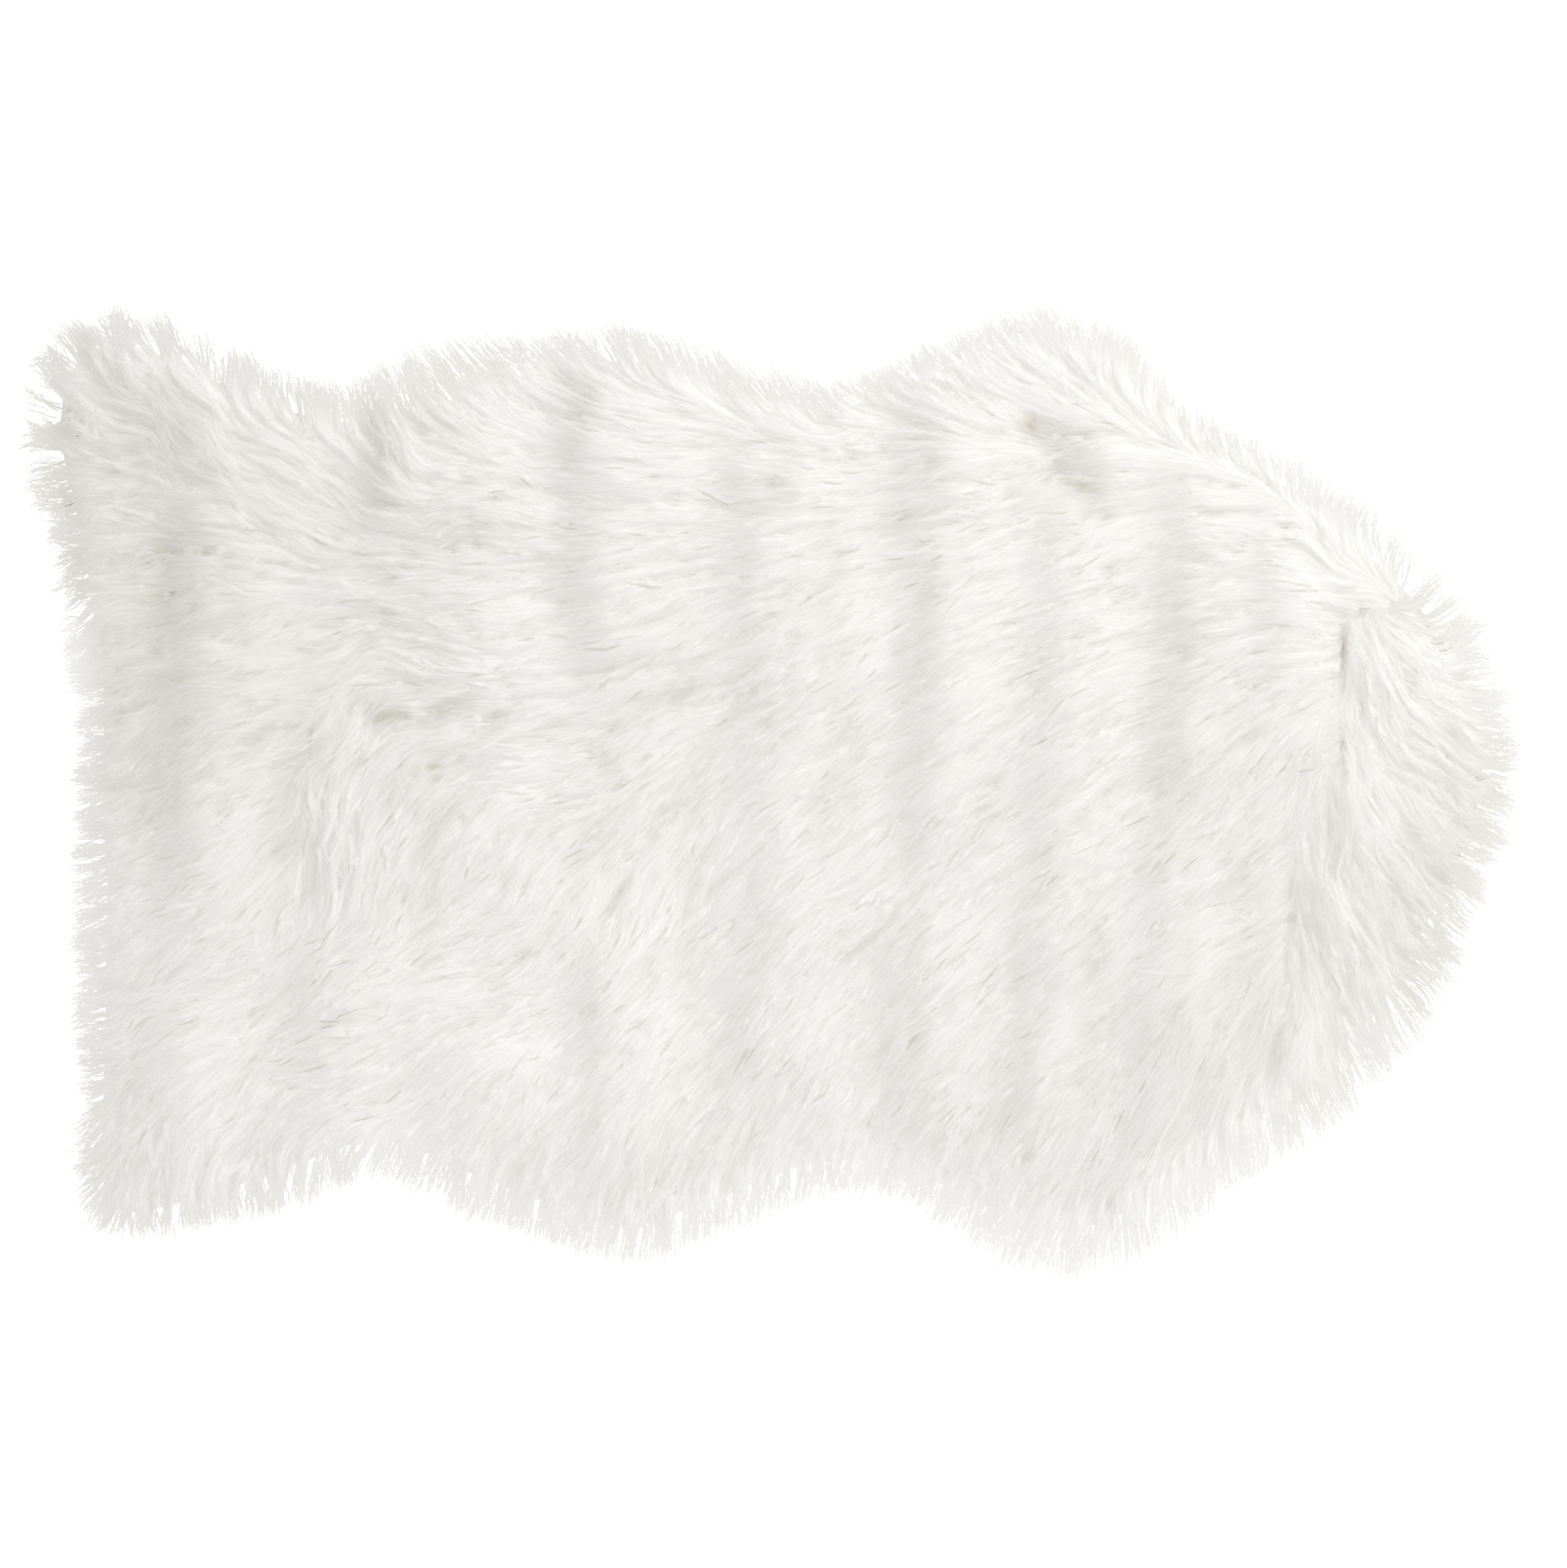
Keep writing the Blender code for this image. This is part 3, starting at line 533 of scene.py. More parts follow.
class PeltMap:
    """Height of the pile, distance inside the rim and direction of the hair, on a grid."""

    def __init__(self, rim):
        self.low = LOW - MAP_MARGIN
        self.shape = tuple(np.ceil((HIGH + MAP_MARGIN - self.low) / MAP_PITCH).astype(int) + 1)
        axes = [low + MAP_PITCH * np.arange(count) for low, count in zip(self.low, self.shape)]
        self.points = grid(*axes).reshape(-1, 2)
        inside = inside_rim(self.points, rim)
        depth = rim_distance(self.points, rim) * np.where(inside, 1.0, -1.0)
        self.depth = depth.reshape(self.shape)
        self.inward = normalized(np.stack(np.gradient(self.depth), axis=2))
        self.height = blurred(self.cast(inside), *SMOOTHING)
        self.slope = np.stack(np.gradient(self.height, MAP_PITCH), axis=2)
        self.hair = self.combing()
        self.open = self.gaps()
        self.parted = self.partings()
        self.clumps = self.clumped()
        self.clump_slope = np.stack(np.gradient(self.clumps, CLUMP_PITCH), axis=2)

    def cast(self, inside):
        """Heights of the solid, and beyond its wall those of hair that sinks to the floor."""
        tree = BVHTree.FromObject(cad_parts[NODE], bpy.context.evaluated_depsgraph_get())
        down = Vector((0, 0, -1))
        heights = WALL_LEVEL * np.clip(1.0 + self.depth.ravel() / WALL_FALL, LEAST_LEVEL, 1.0)
        for index in np.flatnonzero(inside):
            x, y = self.points[index]
            hit = tree.ray_cast(Vector((x, y, 1.0)), down)[0]
            heights[index] = hit.z if hit else heights[index]
        return heights.reshape(self.shape)

    def combing(self):
        """Direction of the hair: combed, a little wavy, and turned outwards near the rim."""
        near_rim = 1.0 - smoothstep(self.depth.ravel() / RIM_BAND)
        waves = BODY_WAVES + wildness(self.points) + RIM_WAVES * near_rim
        waves *= smooth_noise(self.points, WAVE_PITCH)
        hair = turned(combed(self.points - TO_MIDDLE), WAVE_TURN * waves)
        hair = normalized(hair - RIM_FLARE * near_rim[:, None] * self.inward.reshape(-1, 2))
        return hair.reshape(self.shape + (2,))

    def gaps(self):
        """How far the hair stands open, with ragged edges, and how much painted shade darkens it there.
        """
        ragged = RAGGED[0] + RAGGED[1] * smooth_noise(self.points, RAGGED_PITCH)
        return (opened(self.points - TO_MIDDLE) * ragged).clip(0.0, 1.0).reshape(self.shape)

    def partings(self):
        """How far neighbouring hairs turn away from each other, from 0 to 1."""
        spread = np.gradient(self.hair[..., 0], MAP_PITCH, axis=0)
        spread += np.gradient(self.hair[..., 1], MAP_PITCH, axis=1)
        spread = blurred(spread, SPREAD_BLUR, SPREAD_BLUR)
        parted = smoothstep((spread - LEAST_SPREAD) / SPREAD_RANGE)
        return parted * smoothstep(self.depth / RIM_BAND)

    def clumped(self):
        """A finer map of the clumps: up to 1 on their backs and down to -1 in the furrows."""
        span = (np.array(self.shape) - 1) * MAP_PITCH
        axes = [low + np.arange(0.0, length, CLUMP_PITCH) for low, length in zip(self.low, span)]
        points = grid(*axes)
        clumps = np.zeros(points.shape[:2])
        for width, steps in CLUMP_GRAINS:
            drawn = self.drawn_out(points, width, steps)
            furrows = np.exp(-((drawn / FURROW) ** 2))
            share = min(1.0, width / CLUMP_GRAINS[0][0])
            clumps += (CLUMP_SWELL * drawn - furrows + CLUMP_LEVEL) * share
        clumps = np.clip(blurred(clumps, CLUMP_BLUR, CLUMP_BLUR, CLUMP_PITCH), -1.0, 1.0)
        return clumps * smoothstep(self.at(self.depth, points) / CLUMP_EDGE)

    def drawn_out(self, points, width, steps):
        """Noise of about this width, followed along the hair for so many widths each way."""
        grain = random.uniform(-1.0, 1.0, GRAINS)
        total = np.zeros(points.shape[:-1])
        for way in (-1, 1):
            place = points.copy()
            for _ in range(steps):
                cell = np.floor((place - self.low) / width).astype(int)
                total += grain[cell[..., 0] % GRAINS[0], cell[..., 1] % GRAINS[1]]
                place += way * width * self.at(self.hair, place)
        return total / total.std()

    def at(self, field, points, pitch=MAP_PITCH):
        """A field's value between the map's points, and at its edge beyond them."""
        place = (points - self.low) / pitch
        return interpolated(field, np.clip(place, 0, np.array(field.shape[:2]) - MAP_EDGE))

    def clump(self, points):
        return self.at(self.clumps, points, CLUMP_PITCH)

    def surface(self, points):
        """Height of the combed pile."""
        return self.at(self.height, points) + CLUMP_RELIEF * self.clump(points)

    def sunk(self, share, points):
        """This share of the pile's height, less where the hair stands open or parts."""
        share = share - GAP_SHARE * self.at(self.open, points)
        return share - PART_SHARE * self.at(self.parted, points)

    def facing(self, points):
        """The pile's own normals, as its shading takes them."""
        slope = FOLD_SHADING * self.at(self.slope, points)
        depth = self.at(self.depth, points)[..., None]
        inward = self.at(self.inward, points)
        level = RIM_LEVEL[0] + RIM_LEVEL[1] * inward[..., 1:] ** 2
        down = (slope * inward).sum(axis=-1, keepdims=True)
        slope = slope - (1.0 - smoothstep(depth / level)) * down * inward
        slope = slope + CLUMP_RELIEF * self.at(self.clump_slope, points, CLUMP_PITCH)
        steep = np.linalg.norm(slope, axis=-1, keepdims=True)
        slope = slope / np.sqrt(1.0 + (steep / STEEPEST) ** 2)
        return normalized(np.concatenate((-slope, np.ones_like(steep)), axis=-1))


def crosses_parting(points, target):
    """Whether the straight line from each point to the target crosses the parting."""
    crossed = np.zeros(len(points), dtype=bool)
    for start, end in zip(PARTING, PARTING[1:]):
        run = np.array(end - start)
        sight = target - points
        offset = np.array(start) - points
        turn = cross(sight, run)
        turn = np.where(np.abs(turn) < 1e-12, 1e-12, turn)
        on_sight = cross(offset, run) / turn
        on_parting = cross(offset, sight) / turn
        crossed |= (on_sight > 0) & (on_sight < 1) & (on_parting > 0) & (on_parting < 1)
    return crossed


def combed(points):
    """Unit direction of the hair at each point, blended from the nearest comb strokes."""
    total = np.zeros((len(points), 2))
    for x, y, heading in COMBING:
        place = in_metres(x, y)
        distance = np.linalg.norm(points - place, axis=1)
        weight = (distance**2 + COMB_SOFTNESS**2) ** (-COMB_FALL / 2)
        weight *= np.where(crosses_parting(points, place), ACROSS_PARTING, 1.0)
        total += weight[:, None] * unit(heading)
    return normalized(total)


def opened(points):
    """How far the hair stands open at each point, from 0 to 1."""
    total = np.zeros(len(points))
    for x, y, heading, length, width, depth in GAPS_AND_SHADE:
        offset = points - in_metres(x, y)
        length, width = in_metres(length, width)
        along = offset @ unit(heading) / length
        across = offset @ unit(heading + 90) / width
        total = np.maximum(total, depth * np.exp(-(along**4) - across**2))
    return total


def far_corner(points):
    """1 at the tail end's far corner, fading to 0 away from it."""
    return np.exp(-(((points - FAR_CORNER) / FAR_AROUND) ** 2).sum(axis=1))


def passed(points, start, over):
    """0 as far as a place along X, rising to 1 over the stretch after it."""
    return smoothstep((points[:, 0] - start) / over)


def wildness(points):
    """How loosely the hair lies: most at the tail end's far corner, least on the body."""
    tail = 1.0 - passed(points, *WILD_TAIL)
    nose = passed(points, *WILD_NOSE)
    return WILDNESS[0] * tail + WILDNESS[1] * nose + WILDNESS[2] * far_corner(points)


def shagginess(points):
    """How much the hair stands out in tufts at the rim."""
    tail = 1.0 - passed(points, *SHAGGY_TAIL)
    return np.clip(SHAGGINESS * tail + far_corner(points), 0.0, 1.0)


def more_reach(points):
    """By how much further than elsewhere the hair stands out, blended from the places told."""
    total = np.zeros(len(points))
    weights = np.full(len(points), 1e-6)
    for x, y, more in REACHES:
        offset = points - TO_MIDDLE - in_metres(x, y)
        weight = np.exp(-(offset**2).sum(axis=1) / REACH_AROUND**2)
        total += weight * in_metres(more)
        weights += weight
    return total / weights


# ---- meshes ----


def new_object(name, data):
    item = bpy.data.objects.new(name, data)
    bpy.context.scene.collection.objects.link(item)
    return item


def new_mesh(name, points, loops, sizes, material, smooth=True):
    """An object from arrays: its points, its faces' corners and how many each face has."""
    mesh = bpy.data.meshes.new(name)
    mesh.vertices.add(len(points))
    mesh.vertices.foreach_set("co", np.asarray(points, np.float32).ravel())
    mesh.loops.add(len(loops))
    mesh.loops.foreach_set("vertex_index", np.asarray(loops, np.int32))
    mesh.polygons.add(len(sizes))
    starts = np.concatenate(((0,), np.cumsum(sizes)[:-1]))
    mesh.polygons.foreach_set("loop_start", starts.astype(np.int32))
    mesh.polygons.foreach_set("loop_total", np.asarray(sizes, np.int32))
    mesh.polygons.foreach_set("use_smooth", np.full(len(sizes), smooth))
    mesh.update(calc_edges=True)
    mesh.validate()
    mesh.materials.append(material)
    return new_object(name, mesh)


def add_values(piece, name, values):
    """A value at each of the piece's points, for its material."""
    layer = piece.data.attributes.new(name, "FLOAT", "POINT")
    layer.data.foreach_set("value", np.asarray(values, np.float32))


def add_surface_values(piece, places, pelt):
    """What the material takes from the pelt for its painted shade and light: its clumps, its gaps and
    where it is painted pale.
    """
    # painted shade: the colour darkens in the furrows of the clumps, and where the hair stands open
    add_values(piece, "clump", 0.5 + 0.5 * pelt.clump(places))
    add_values(piece, "open", pelt.at(pelt.open, places))
    # painted light: paler near the rim, more on the near side, less where the hair is wild, and at the
    # listed places
    painted_light = PAINTED_LIGHT_SIDES[0] + PAINTED_LIGHT_SIDES[1] * pelt.at(pelt.inward, places)[:, 1]
    painted_light *= 1.0 - smoothstep(pelt.at(pelt.depth, places) / PAINTED_LIGHT_BAND)
    painted_light *= 1.0 - np.clip(wildness(places), 0.0, 1.0)
    for x, y, wide, long, more in PAINTED_LIGHT_PLACES:
        offset = (places - TO_MIDDLE - in_metres(x, y)) / in_metres(wide, long)
        painted_light += more * np.exp(-(offset**2).sum(axis=1))
    add_values(piece, "painted_light", painted_light)


def soften_shading(mesh, points, pelt):
    """Shades hair mostly as the surface that the pile forms, as light spreads between hairs."""
    own = np.empty(len(points) * 3)
    mesh.vertex_normals.foreach_get("vector", own)
    mixed = normalized(pelt.facing(points[:, :2]) + OWN_SHADING * own.reshape(-1, 3))
    mesh.normals_split_custom_set_from_vertices(mixed)


def see_through_shadows(piece):
    """White hair lets light through to the hair below, so it throws no shadow there."""
    piece.visible_shadow = False
    piece.visible_diffuse = False
    return piece


def add_hide(rim, material):
    """The hide: one thin flat sheet on the floor."""
    normals = np.roll(rim, -1, axis=0) - np.roll(rim, 1, axis=0)
    normals = normalized(np.stack((normals[:, 1], -normals[:, 0]), axis=1))
    edge = rim - HIDE_INSET * normals
    count = len(edge)
    lower = np.column_stack((edge, np.zeros(count)))
    upper = np.column_stack((edge, np.full(count, HIDE_THICKNESS)))
    here = np.arange(count)
    after = np.roll(here, -1)
    walls = np.stack((here, after, after + count, here + count), axis=1).ravel()
    loops = np.concatenate((here[::-1], here + count, walls))
    sizes = np.concatenate(((count, count), np.full(count, 4)))
    piece = new_mesh("hide", np.concatenate((lower, upper)), loops, sizes, material, False)
    area = 0.5 * abs(cross(edge, np.roll(edge, -1, axis=0)).sum())
    size = edge.max(axis=0) - edge.min(axis=0)
    return piece, (float(size[1]), float(size[0])), float(area)


def cell_corners(field):
    """A grid's value at each of its cells' four corners, in their order round the cell."""
    return field[:-1, :-1], field[1:, :-1], field[1:, 1:], field[:-1, 1:]


def undercoat_cells(pelt):
    """The undercoat as seen from above: its points, and its cells' corners among them."""
    axes = [np.arange(low, high, UNDERCOAT_PITCH) for low, high in zip(LOW, HIGH)]
    points = grid(*axes)
    edge = UNDERCOAT_INSET + UNDERCOAT_ROOM * UNDERCOAT_PITCH
    kept = pelt.at(pelt.depth, points) > edge
    cells = np.logical_and.reduce(cell_corners(kept))
    used = np.zeros_like(kept)
    for corner in cell_corners(used):
        corner |= cells
    index = np.full(kept.shape, -1)
    index[used] = np.arange(used.sum())
    return points[used], np.stack(cell_corners(index), axis=2)[cells]


def border_edges(quads):
    """The edges that belong to one quad only."""
    edges = np.concatenate([quads[:, (a, (a + 1) % 4)] for a in range(4)])
    keys = {tuple(edge) for edge in edges.tolist()}
    return np.array([edge for edge in keys if edge[::-1] not in keys])


def in_order(edges):
    """The points of one closed run of edges, one after the other."""
    follow = dict(edges.tolist())
    ring = [edges[0, 0]]
    while follow[ring[-1]] != ring[0]:
        ring.append(follow[ring[-1]])
    return np.array(ring)


def add_undercoat(pelt, material):
    """A closed bed under the locks, clumped along the hair, that ends at the rim."""
    points, quads = undercoat_cells(pelt)
    border = border_edges(quads)
    rim = np.unique(border)
    slope = np.stack(np.gradient(pelt.depth, MAP_PITCH), axis=2)
    gap = pelt.at(pelt.depth, points[rim])[:, None] - UNDERCOAT_INSET
    points[rim] -= gap * pelt.at(slope, points[rim])
    height = pelt.sunk(UNDERCOAT_SHARE, points) * pelt.surface(points)
    height = np.maximum(height, UNDERCOAT_FLOOR + UNDERCOAT_WALL)
    top = np.column_stack((points, height))
    foot = np.column_stack((points[rim], np.full(len(rim), UNDERCOAT_FLOOR)))
    below = np.full(len(points), -1)
    below[rim] = len(points) + np.arange(len(rim))
    walls = np.stack((border[:, 1], border[:, 0], below[border[:, 0]], below[border[:, 1]]), 1)
    floor_face = below[in_order(border)][::-1]
    loops = np.concatenate((quads.ravel(), walls.ravel(), floor_face))
    sizes = np.concatenate((np.full(len(quads) + len(walls), 4), (len(floor_face),)))
    piece = new_mesh("undercoat", np.concatenate((top, foot)), loops, sizes, material)
    places = np.concatenate((points, points[rim]))
    soften_shading(piece.data, places, pelt)
    hair = pelt.at(pelt.hair, places)
    add_values(piece, "lie_x", hair[:, 0] ** 2 - hair[:, 1] ** 2)
    add_values(piece, "lie_y", 2.0 * hair[:, 0] * hair[:, 1])
    add_surface_values(piece, places, pelt)
    return piece


# ---- the locks ----


def lattice(pitch):
    """Jittered points of a triangular lattice over the rug's box."""
    row = pitch * math.sqrt(0.75)
    points = grid(np.arange(LOW[0], HIGH[0], pitch), np.arange(LOW[1], HIGH[1], row))
    points[:, 1::2, 0] += pitch / 2
    points = points.reshape(-1, 2)
    return points + random.uniform(-JITTER, JITTER, points.shape) * pitch


def lock_roots(pelt):
    """Roots all over the pelt, and more of them near the rim and where the pile parts."""
    roots = lattice(LOCK_PITCH)
    roots = roots[pelt.at(pelt.depth, roots) > ROOT_INSET]
    more = lattice(RIM_LOCK_PITCH)
    depth = pelt.at(pelt.depth, more)
    more = more[(depth > RIM_ROOT_INSET) & (depth < RIM_BAND)]
    parted = lattice(PARTING_PITCH)
    depth = pelt.at(pelt.depth, parted)
    wanted = pelt.at(pelt.parted, parted) * (depth > RIM_BAND / 2)
    parted = parted[random.random(len(parted)) < wanted]
    return np.concatenate((roots, more, parted))


def lock_sways(pelt, roots, middles, tuft, calm):
    """How far each lock turns aside: with its tuft, with its neighbours and by itself."""
    count = len(roots)
    aside = cross(pelt.at(pelt.hair, roots), roots - middles[tuft])
    sway = -TUFT_PULL * aside / LOCK_LENGTH
    sway += TUFT_SWAY * random.normal(size=len(middles))[tuft]
    sway += DRIFT * smooth_noise(roots, DRIFT_PITCH)
    sway += OWN_SWAY * random.normal(size=count)
    tangled = (random.random(count) < TANGLED) * TANGLE
    tangled = tangled + PARTED_TANGLE * pelt.at(pelt.parted, roots)
    sway += TANGLE_TURN * tangled * random.normal(size=count)
    return sway * (1.0 - CALMING * calm)


def lock_reaches(roots, tufts, tuft, wild, calm):
    """How far beyond the slab's wall each lock may stand, partly together with its tuft."""
    together = np.clip(TOGETHER * wild, *TOGETHER_RANGE) * (1.0 - CALM_APART * calm)
    reach = (1.0 - together) * random.uniform(*OWN_REACHES, len(roots))
    reach += together * random.uniform(*TUFT_REACHES, tufts)[tuft]
    reach += REACH_DRIFT * smooth_noise(roots, REACH_PITCH)
    return reach * (RIM_REACH * (1.0 + WILD_REACH * wild)) + more_reach(roots)


def follow_combing(pelt, roots, sway, curl, length):
    """Places along each lock in equal steps, drawn through the combing from its root."""
    step = (length / GUIDE_STEPS)[:, None]
    place = roots
    run = pelt.at(pelt.hair, roots)
    places = [place]
    for index in range(GUIDE_STEPS):
        turn = sway + curl * (index / GUIDE_STEPS - CURL_MIDDLE)
        combing = pelt.at(pelt.hair, place)
        bend = np.arctan2(cross(run, combing), (combing * run).sum(axis=1))
        bend = np.where(np.abs(bend) < WIDEST_BEND, bend.clip(-STEP_BEND, STEP_BEND), 0.0)
        run = turned(run, bend)
        place = place + step * turned(run, turn)
        places.append(place)
    return np.stack(places, axis=1)


def share_within(pelt, guides, reach):
    """The share of each guide that lies within its reach beyond the wall."""
    beyond = pelt.at(pelt.depth, guides) + reach[:, None]
    past = beyond < 0.0
    first = np.where(past.any(axis=1), past.argmax(axis=1), GUIDE_STEPS)
    every = np.arange(len(guides))
    before = beyond[every, np.maximum(first - 1, 0)]
    after = beyond[every, first]
    share = np.where(past.any(axis=1), before / np.maximum(before - after, 1e-6), 1.0)
    return np.maximum((first - 1 + np.clip(share, 0.0, 1.0)) / GUIDE_STEPS, LEAST_KEPT)


def grow_guides(pelt, roots, middles, tuft):
    """Each lock's middle line from its root to its reach, and its length."""
    count, tufts = len(roots), len(middles)
    wild = wildness(roots)
    calm = 1.0 - smoothstep(pelt.at(pelt.depth, roots) / CALM_BAND)
    calm *= 1.0 - shagginess(roots)
    sway = lock_sways(pelt, roots, middles, tuft, calm)
    curl = TUFT_CURL * random.normal(size=tufts)[tuft]
    curl += OWN_CURL * random.normal(size=count)
    curl *= (1.0 + WILD_CURL * wild) * (1.0 - CALMING * calm)
    length = LOCK_LENGTH * random.uniform(*TUFT_LENGTHS, tufts)[tuft]
    length *= random.uniform(*OWN_LENGTHS, count)
    reach = lock_reaches(roots, tufts, tuft, wild, calm)
    guides = follow_combing(pelt, roots, sway, curl, length)
    kept = share_within(pelt, guides, reach)
    t = np.linspace(0.0, 1.0, GUIDE_STEPS + 1)[None] * kept[:, None]
    return along_guides(guides, t), length * kept


def along_guides(guides, t):
    """Places at share t of each guide's length, and straight on past its end."""
    place = np.maximum(t, 0.0) * GUIDE_STEPS
    cell = np.minimum(place.astype(int), GUIDE_STEPS - 1)
    share = (place - cell)[..., None]
    every = np.arange(len(guides))[:, None]
    return guides[every, cell] * (1 - share) + guides[every, cell + 1] * share


class Locks:
    """The locks' middle lines, widths and own ways of lying."""

    def __init__(self, pelt, roots):
        self.pelt = pelt
        self.count = len(roots)
        middles = lattice(TUFT_PITCH)
        tree = planar_tree(middles)
        tuft = np.array([tree.find((x, y, 0.0))[1] for x, y in roots])
        self.guides, length = grow_guides(pelt, roots, middles, tuft)
        fullness = np.clip(length / LOCK_LENGTH, LEAST_FULLNESS, 1.0)
        self.width = LOCK_WIDTH * random.uniform(*OWN_WIDTHS, self.count) * fullness
        self.level = random.uniform(*OWN_LEVELS, self.count)
        self.flick = TIP_FLICK * random.random(self.count) ** 4
        self.arch = OWN_ARCH * random.random(self.count)
        wave = TIP_WAVE[0] + TIP_WAVE[1] * wildness(roots)
        self.wave = wave * random.random(len(middles))[tuft]
        self.phase = random.uniform(0, 2 * math.pi, len(middles))[tuft]
        self.tone = random.random(self.count)
        self.root = pelt.sunk(ROOT_LEVEL, roots)
        self.passes = pelt.at(pelt.depth, self.guides[:, -1]) < PASSING
        self.inner = pelt.at(pelt.depth, roots) > RIM_BAND
        self.start = random.uniform(*WISP_STARTS, self.count)

    def clear_of_gaps(self):
        """Which locks leave the gaps open: those that don't lie across one, and a few more."""
        t = np.tile(np.linspace(*CROSSING, CROSSING_STEPS), (self.count, 1))
        crossed = self.pelt.at(self.pelt.open, along_guides(self.guides, t)).max(axis=1)
        return np.flatnonzero(crossed < np.maximum(random.random(self.count), GAP_CLEAR))

    def taken(self, index):
        """The same locks in another order, or some of them more than once."""
        other = object.__new__(Locks)
        for name, value in vars(self).items():
            setattr(other, name, value[index] if isinstance(value, np.ndarray) else value)
        other.count = len(index)
        return other

    def half_width(self, t):
        """Half the locks' width at share t of their length."""
        swell = 0.5 + 0.5 * smoothstep(t / FULLEST)
        taper = 1.0 - np.clip((t - FULLEST) / (1.0 - FULLEST), 0.0, 1.0) ** TAPER
        depth = self.pelt.at(self.pelt.depth, along_guides(self.guides, t))
        beyond = 1.0 - RIM_THINNING * smoothstep(0.5 - depth / THINNING_BAND)
        return 0.5 * self.width[:, None] * swell * taper * beyond

    def path(self, t, offset):
        """Places at share t of the locks' length, offset sideways."""
        flat = along_guides(self.guides, t)
        run = along_guides(self.guides, t + RUN_SPAN) - along_guides(self.guides, t - RUN_SPAN)
        run = normalized(run)
        across = np.stack((-run[..., 1], run[..., 0]), axis=2)
        turn = 2.0 * math.pi * WAVES_A_LOCK * t + self.phase[:, None]
        sway = self.wave[:, None] * np.sin(turn) * t
        return flat + across * (offset + sway)[..., None]

    def height(self, flat, t):
        """How high a lock lies there: low at its root, on the pile's surface at its tip."""
        to_tip = np.maximum(1.0 - t, 0.0)
        level = 1.0 - (1.0 - self.root[:, None]) * to_tip**LAY + self.level[:, None]
        surface = self.pelt.surface(flat)
        lift = self.arch[:, None] * np.sin(math.pi * t) + self.flick[:, None] * t**3
        return np.maximum(surface * level + lift, LOWEST_HAIR)

    def laid(self, t, offset=0.0, lift=0.0):
        """Places on the pile at share t of the locks' length, offset sideways and lifted."""
        flat = self.path(t, offset)
        return np.concatenate((flat, (self.height(flat, t) + lift)[..., None]), axis=2)


def strand_faces(rings):
    """Corners of one three-sided strand's faces: its sides, its tip and its root."""
    pairs = [(side, (side + 1) % 3) for side in range(3)]
    last = 3 * (rings - 1)
    faces = [(r + a, r + a + 3, r + b + 3, r + b) for r in range(0, last, 3) for a, b in pairs]
    faces += [(last + a, last + 3, last + b) for a, b in pairs]
    faces.append((0, 1, 2))
    return np.concatenate(faces), np.array([len(face) for face in faces])


def narrowed_at_bends(paths, half_widths):
    """Half widths that keep a strand from folding over itself where it bends sharply."""
    steps = np.diff(paths, axis=1)
    lengths = np.linalg.norm(steps, axis=-1)
    cosines = (normalized(steps[:, 1:]) * normalized(steps[:, :-1])).sum(axis=-1)
    angles = np.maximum(np.arccos(cosines.clip(-1.0, 1.0)), LEAST_ANGLE)
    room = np.full(half_widths.shape, np.inf)
    room[:, 1:-1] = BEND_ROOM * (np.minimum(lengths[:, 1:], lengths[:, :-1]) / angles)
    room[:, 0] = room[:, 1]
    return np.minimum(half_widths, room)


def tube_points(paths, half_widths, ridges):
    """The strands' points: rings of three round each path, and its end as the tip."""
    count, knots, _ = paths.shape
    tangent = normalized(np.gradient(paths, axis=1))
    side = normalized(np.cross(tangent, (0.0, 0.0, 1.0)))
    lift = np.cross(side, tangent)
    ring_points = []
    for degrees in (90, 210, 330):
        across, up = unit(degrees)
        offset = across * half_widths[..., None] * side + up * ridges[..., None] * lift
        ring_points.append(paths + offset)
    tube = np.stack(ring_points, axis=2)[:, :-1].reshape(count, (knots - 1) * 3, 3)
    return np.concatenate((tube, paths[:, -1:]), axis=1)


def add_tubes(name, paths, half_widths, ridges, locks, material):
    """A piece of closed three-sided tapering tubes, each with a ridge along its top."""
    count, knots, _ = paths.shape
    rings = knots - 1
    points = tube_points(paths, narrowed_at_bends(paths, half_widths), ridges)
    corners, sizes = strand_faces(rings)
    each = points.shape[1]
    loops = (corners[None] + each * np.arange(count)[:, None]).ravel()
    points = points.reshape(-1, 3)
    piece = new_mesh(name, points, loops, np.tile(sizes, count), material)
    soften_shading(piece.data, points, locks.pelt)
    along = np.concatenate((np.repeat(np.arange(rings), 3), (rings,))) / rings
    across = np.concatenate((np.tile((0.0, -1.0, 1.0), rings), (0.0,)))
    add_values(piece, "along", np.tile(along, count))
    add_values(piece, "across", np.tile(across, count))
    add_values(piece, "tone", np.repeat(locks.tone, each))
    add_surface_values(piece, points[:, :2], locks.pelt)
    return see_through_shadows(piece)


def add_locks(name, locks, material):
    """The locks themselves, each flat and widest about a third of the way along."""
    t = np.tile(np.linspace(0.0, 1.0, LOCK_KNOTS), (locks.count, 1))
    half = locks.half_width(t)
    ridge = half * LOCK_RIDGE * 2.0
    return add_tubes(name, locks.laid(t), half * LOCK_SPREAD, ridge, locks, material)


def add_wisps(name, locks, material):
    """Short wisps that lie over some of the locks, arched so that their ends go under."""
    share = np.linspace(0.0, 1.0, LOCK_KNOTS)[None]
    t = locks.start[:, None] + WISP_SPAN * share
    paths = locks.laid(t, lift=WISP_ARCH * np.sin(math.pi * share) - WISP_SINK)
    round_off = np.sin(math.pi * share.clip(WISP_EDGE, 1.0)) ** WISP_ROUNDING
    half = 0.5 * locks.width[:, None] * round_off
    return add_tubes(name, paths, half, half * LOCK_RIDGE * 2.0, locks, material)


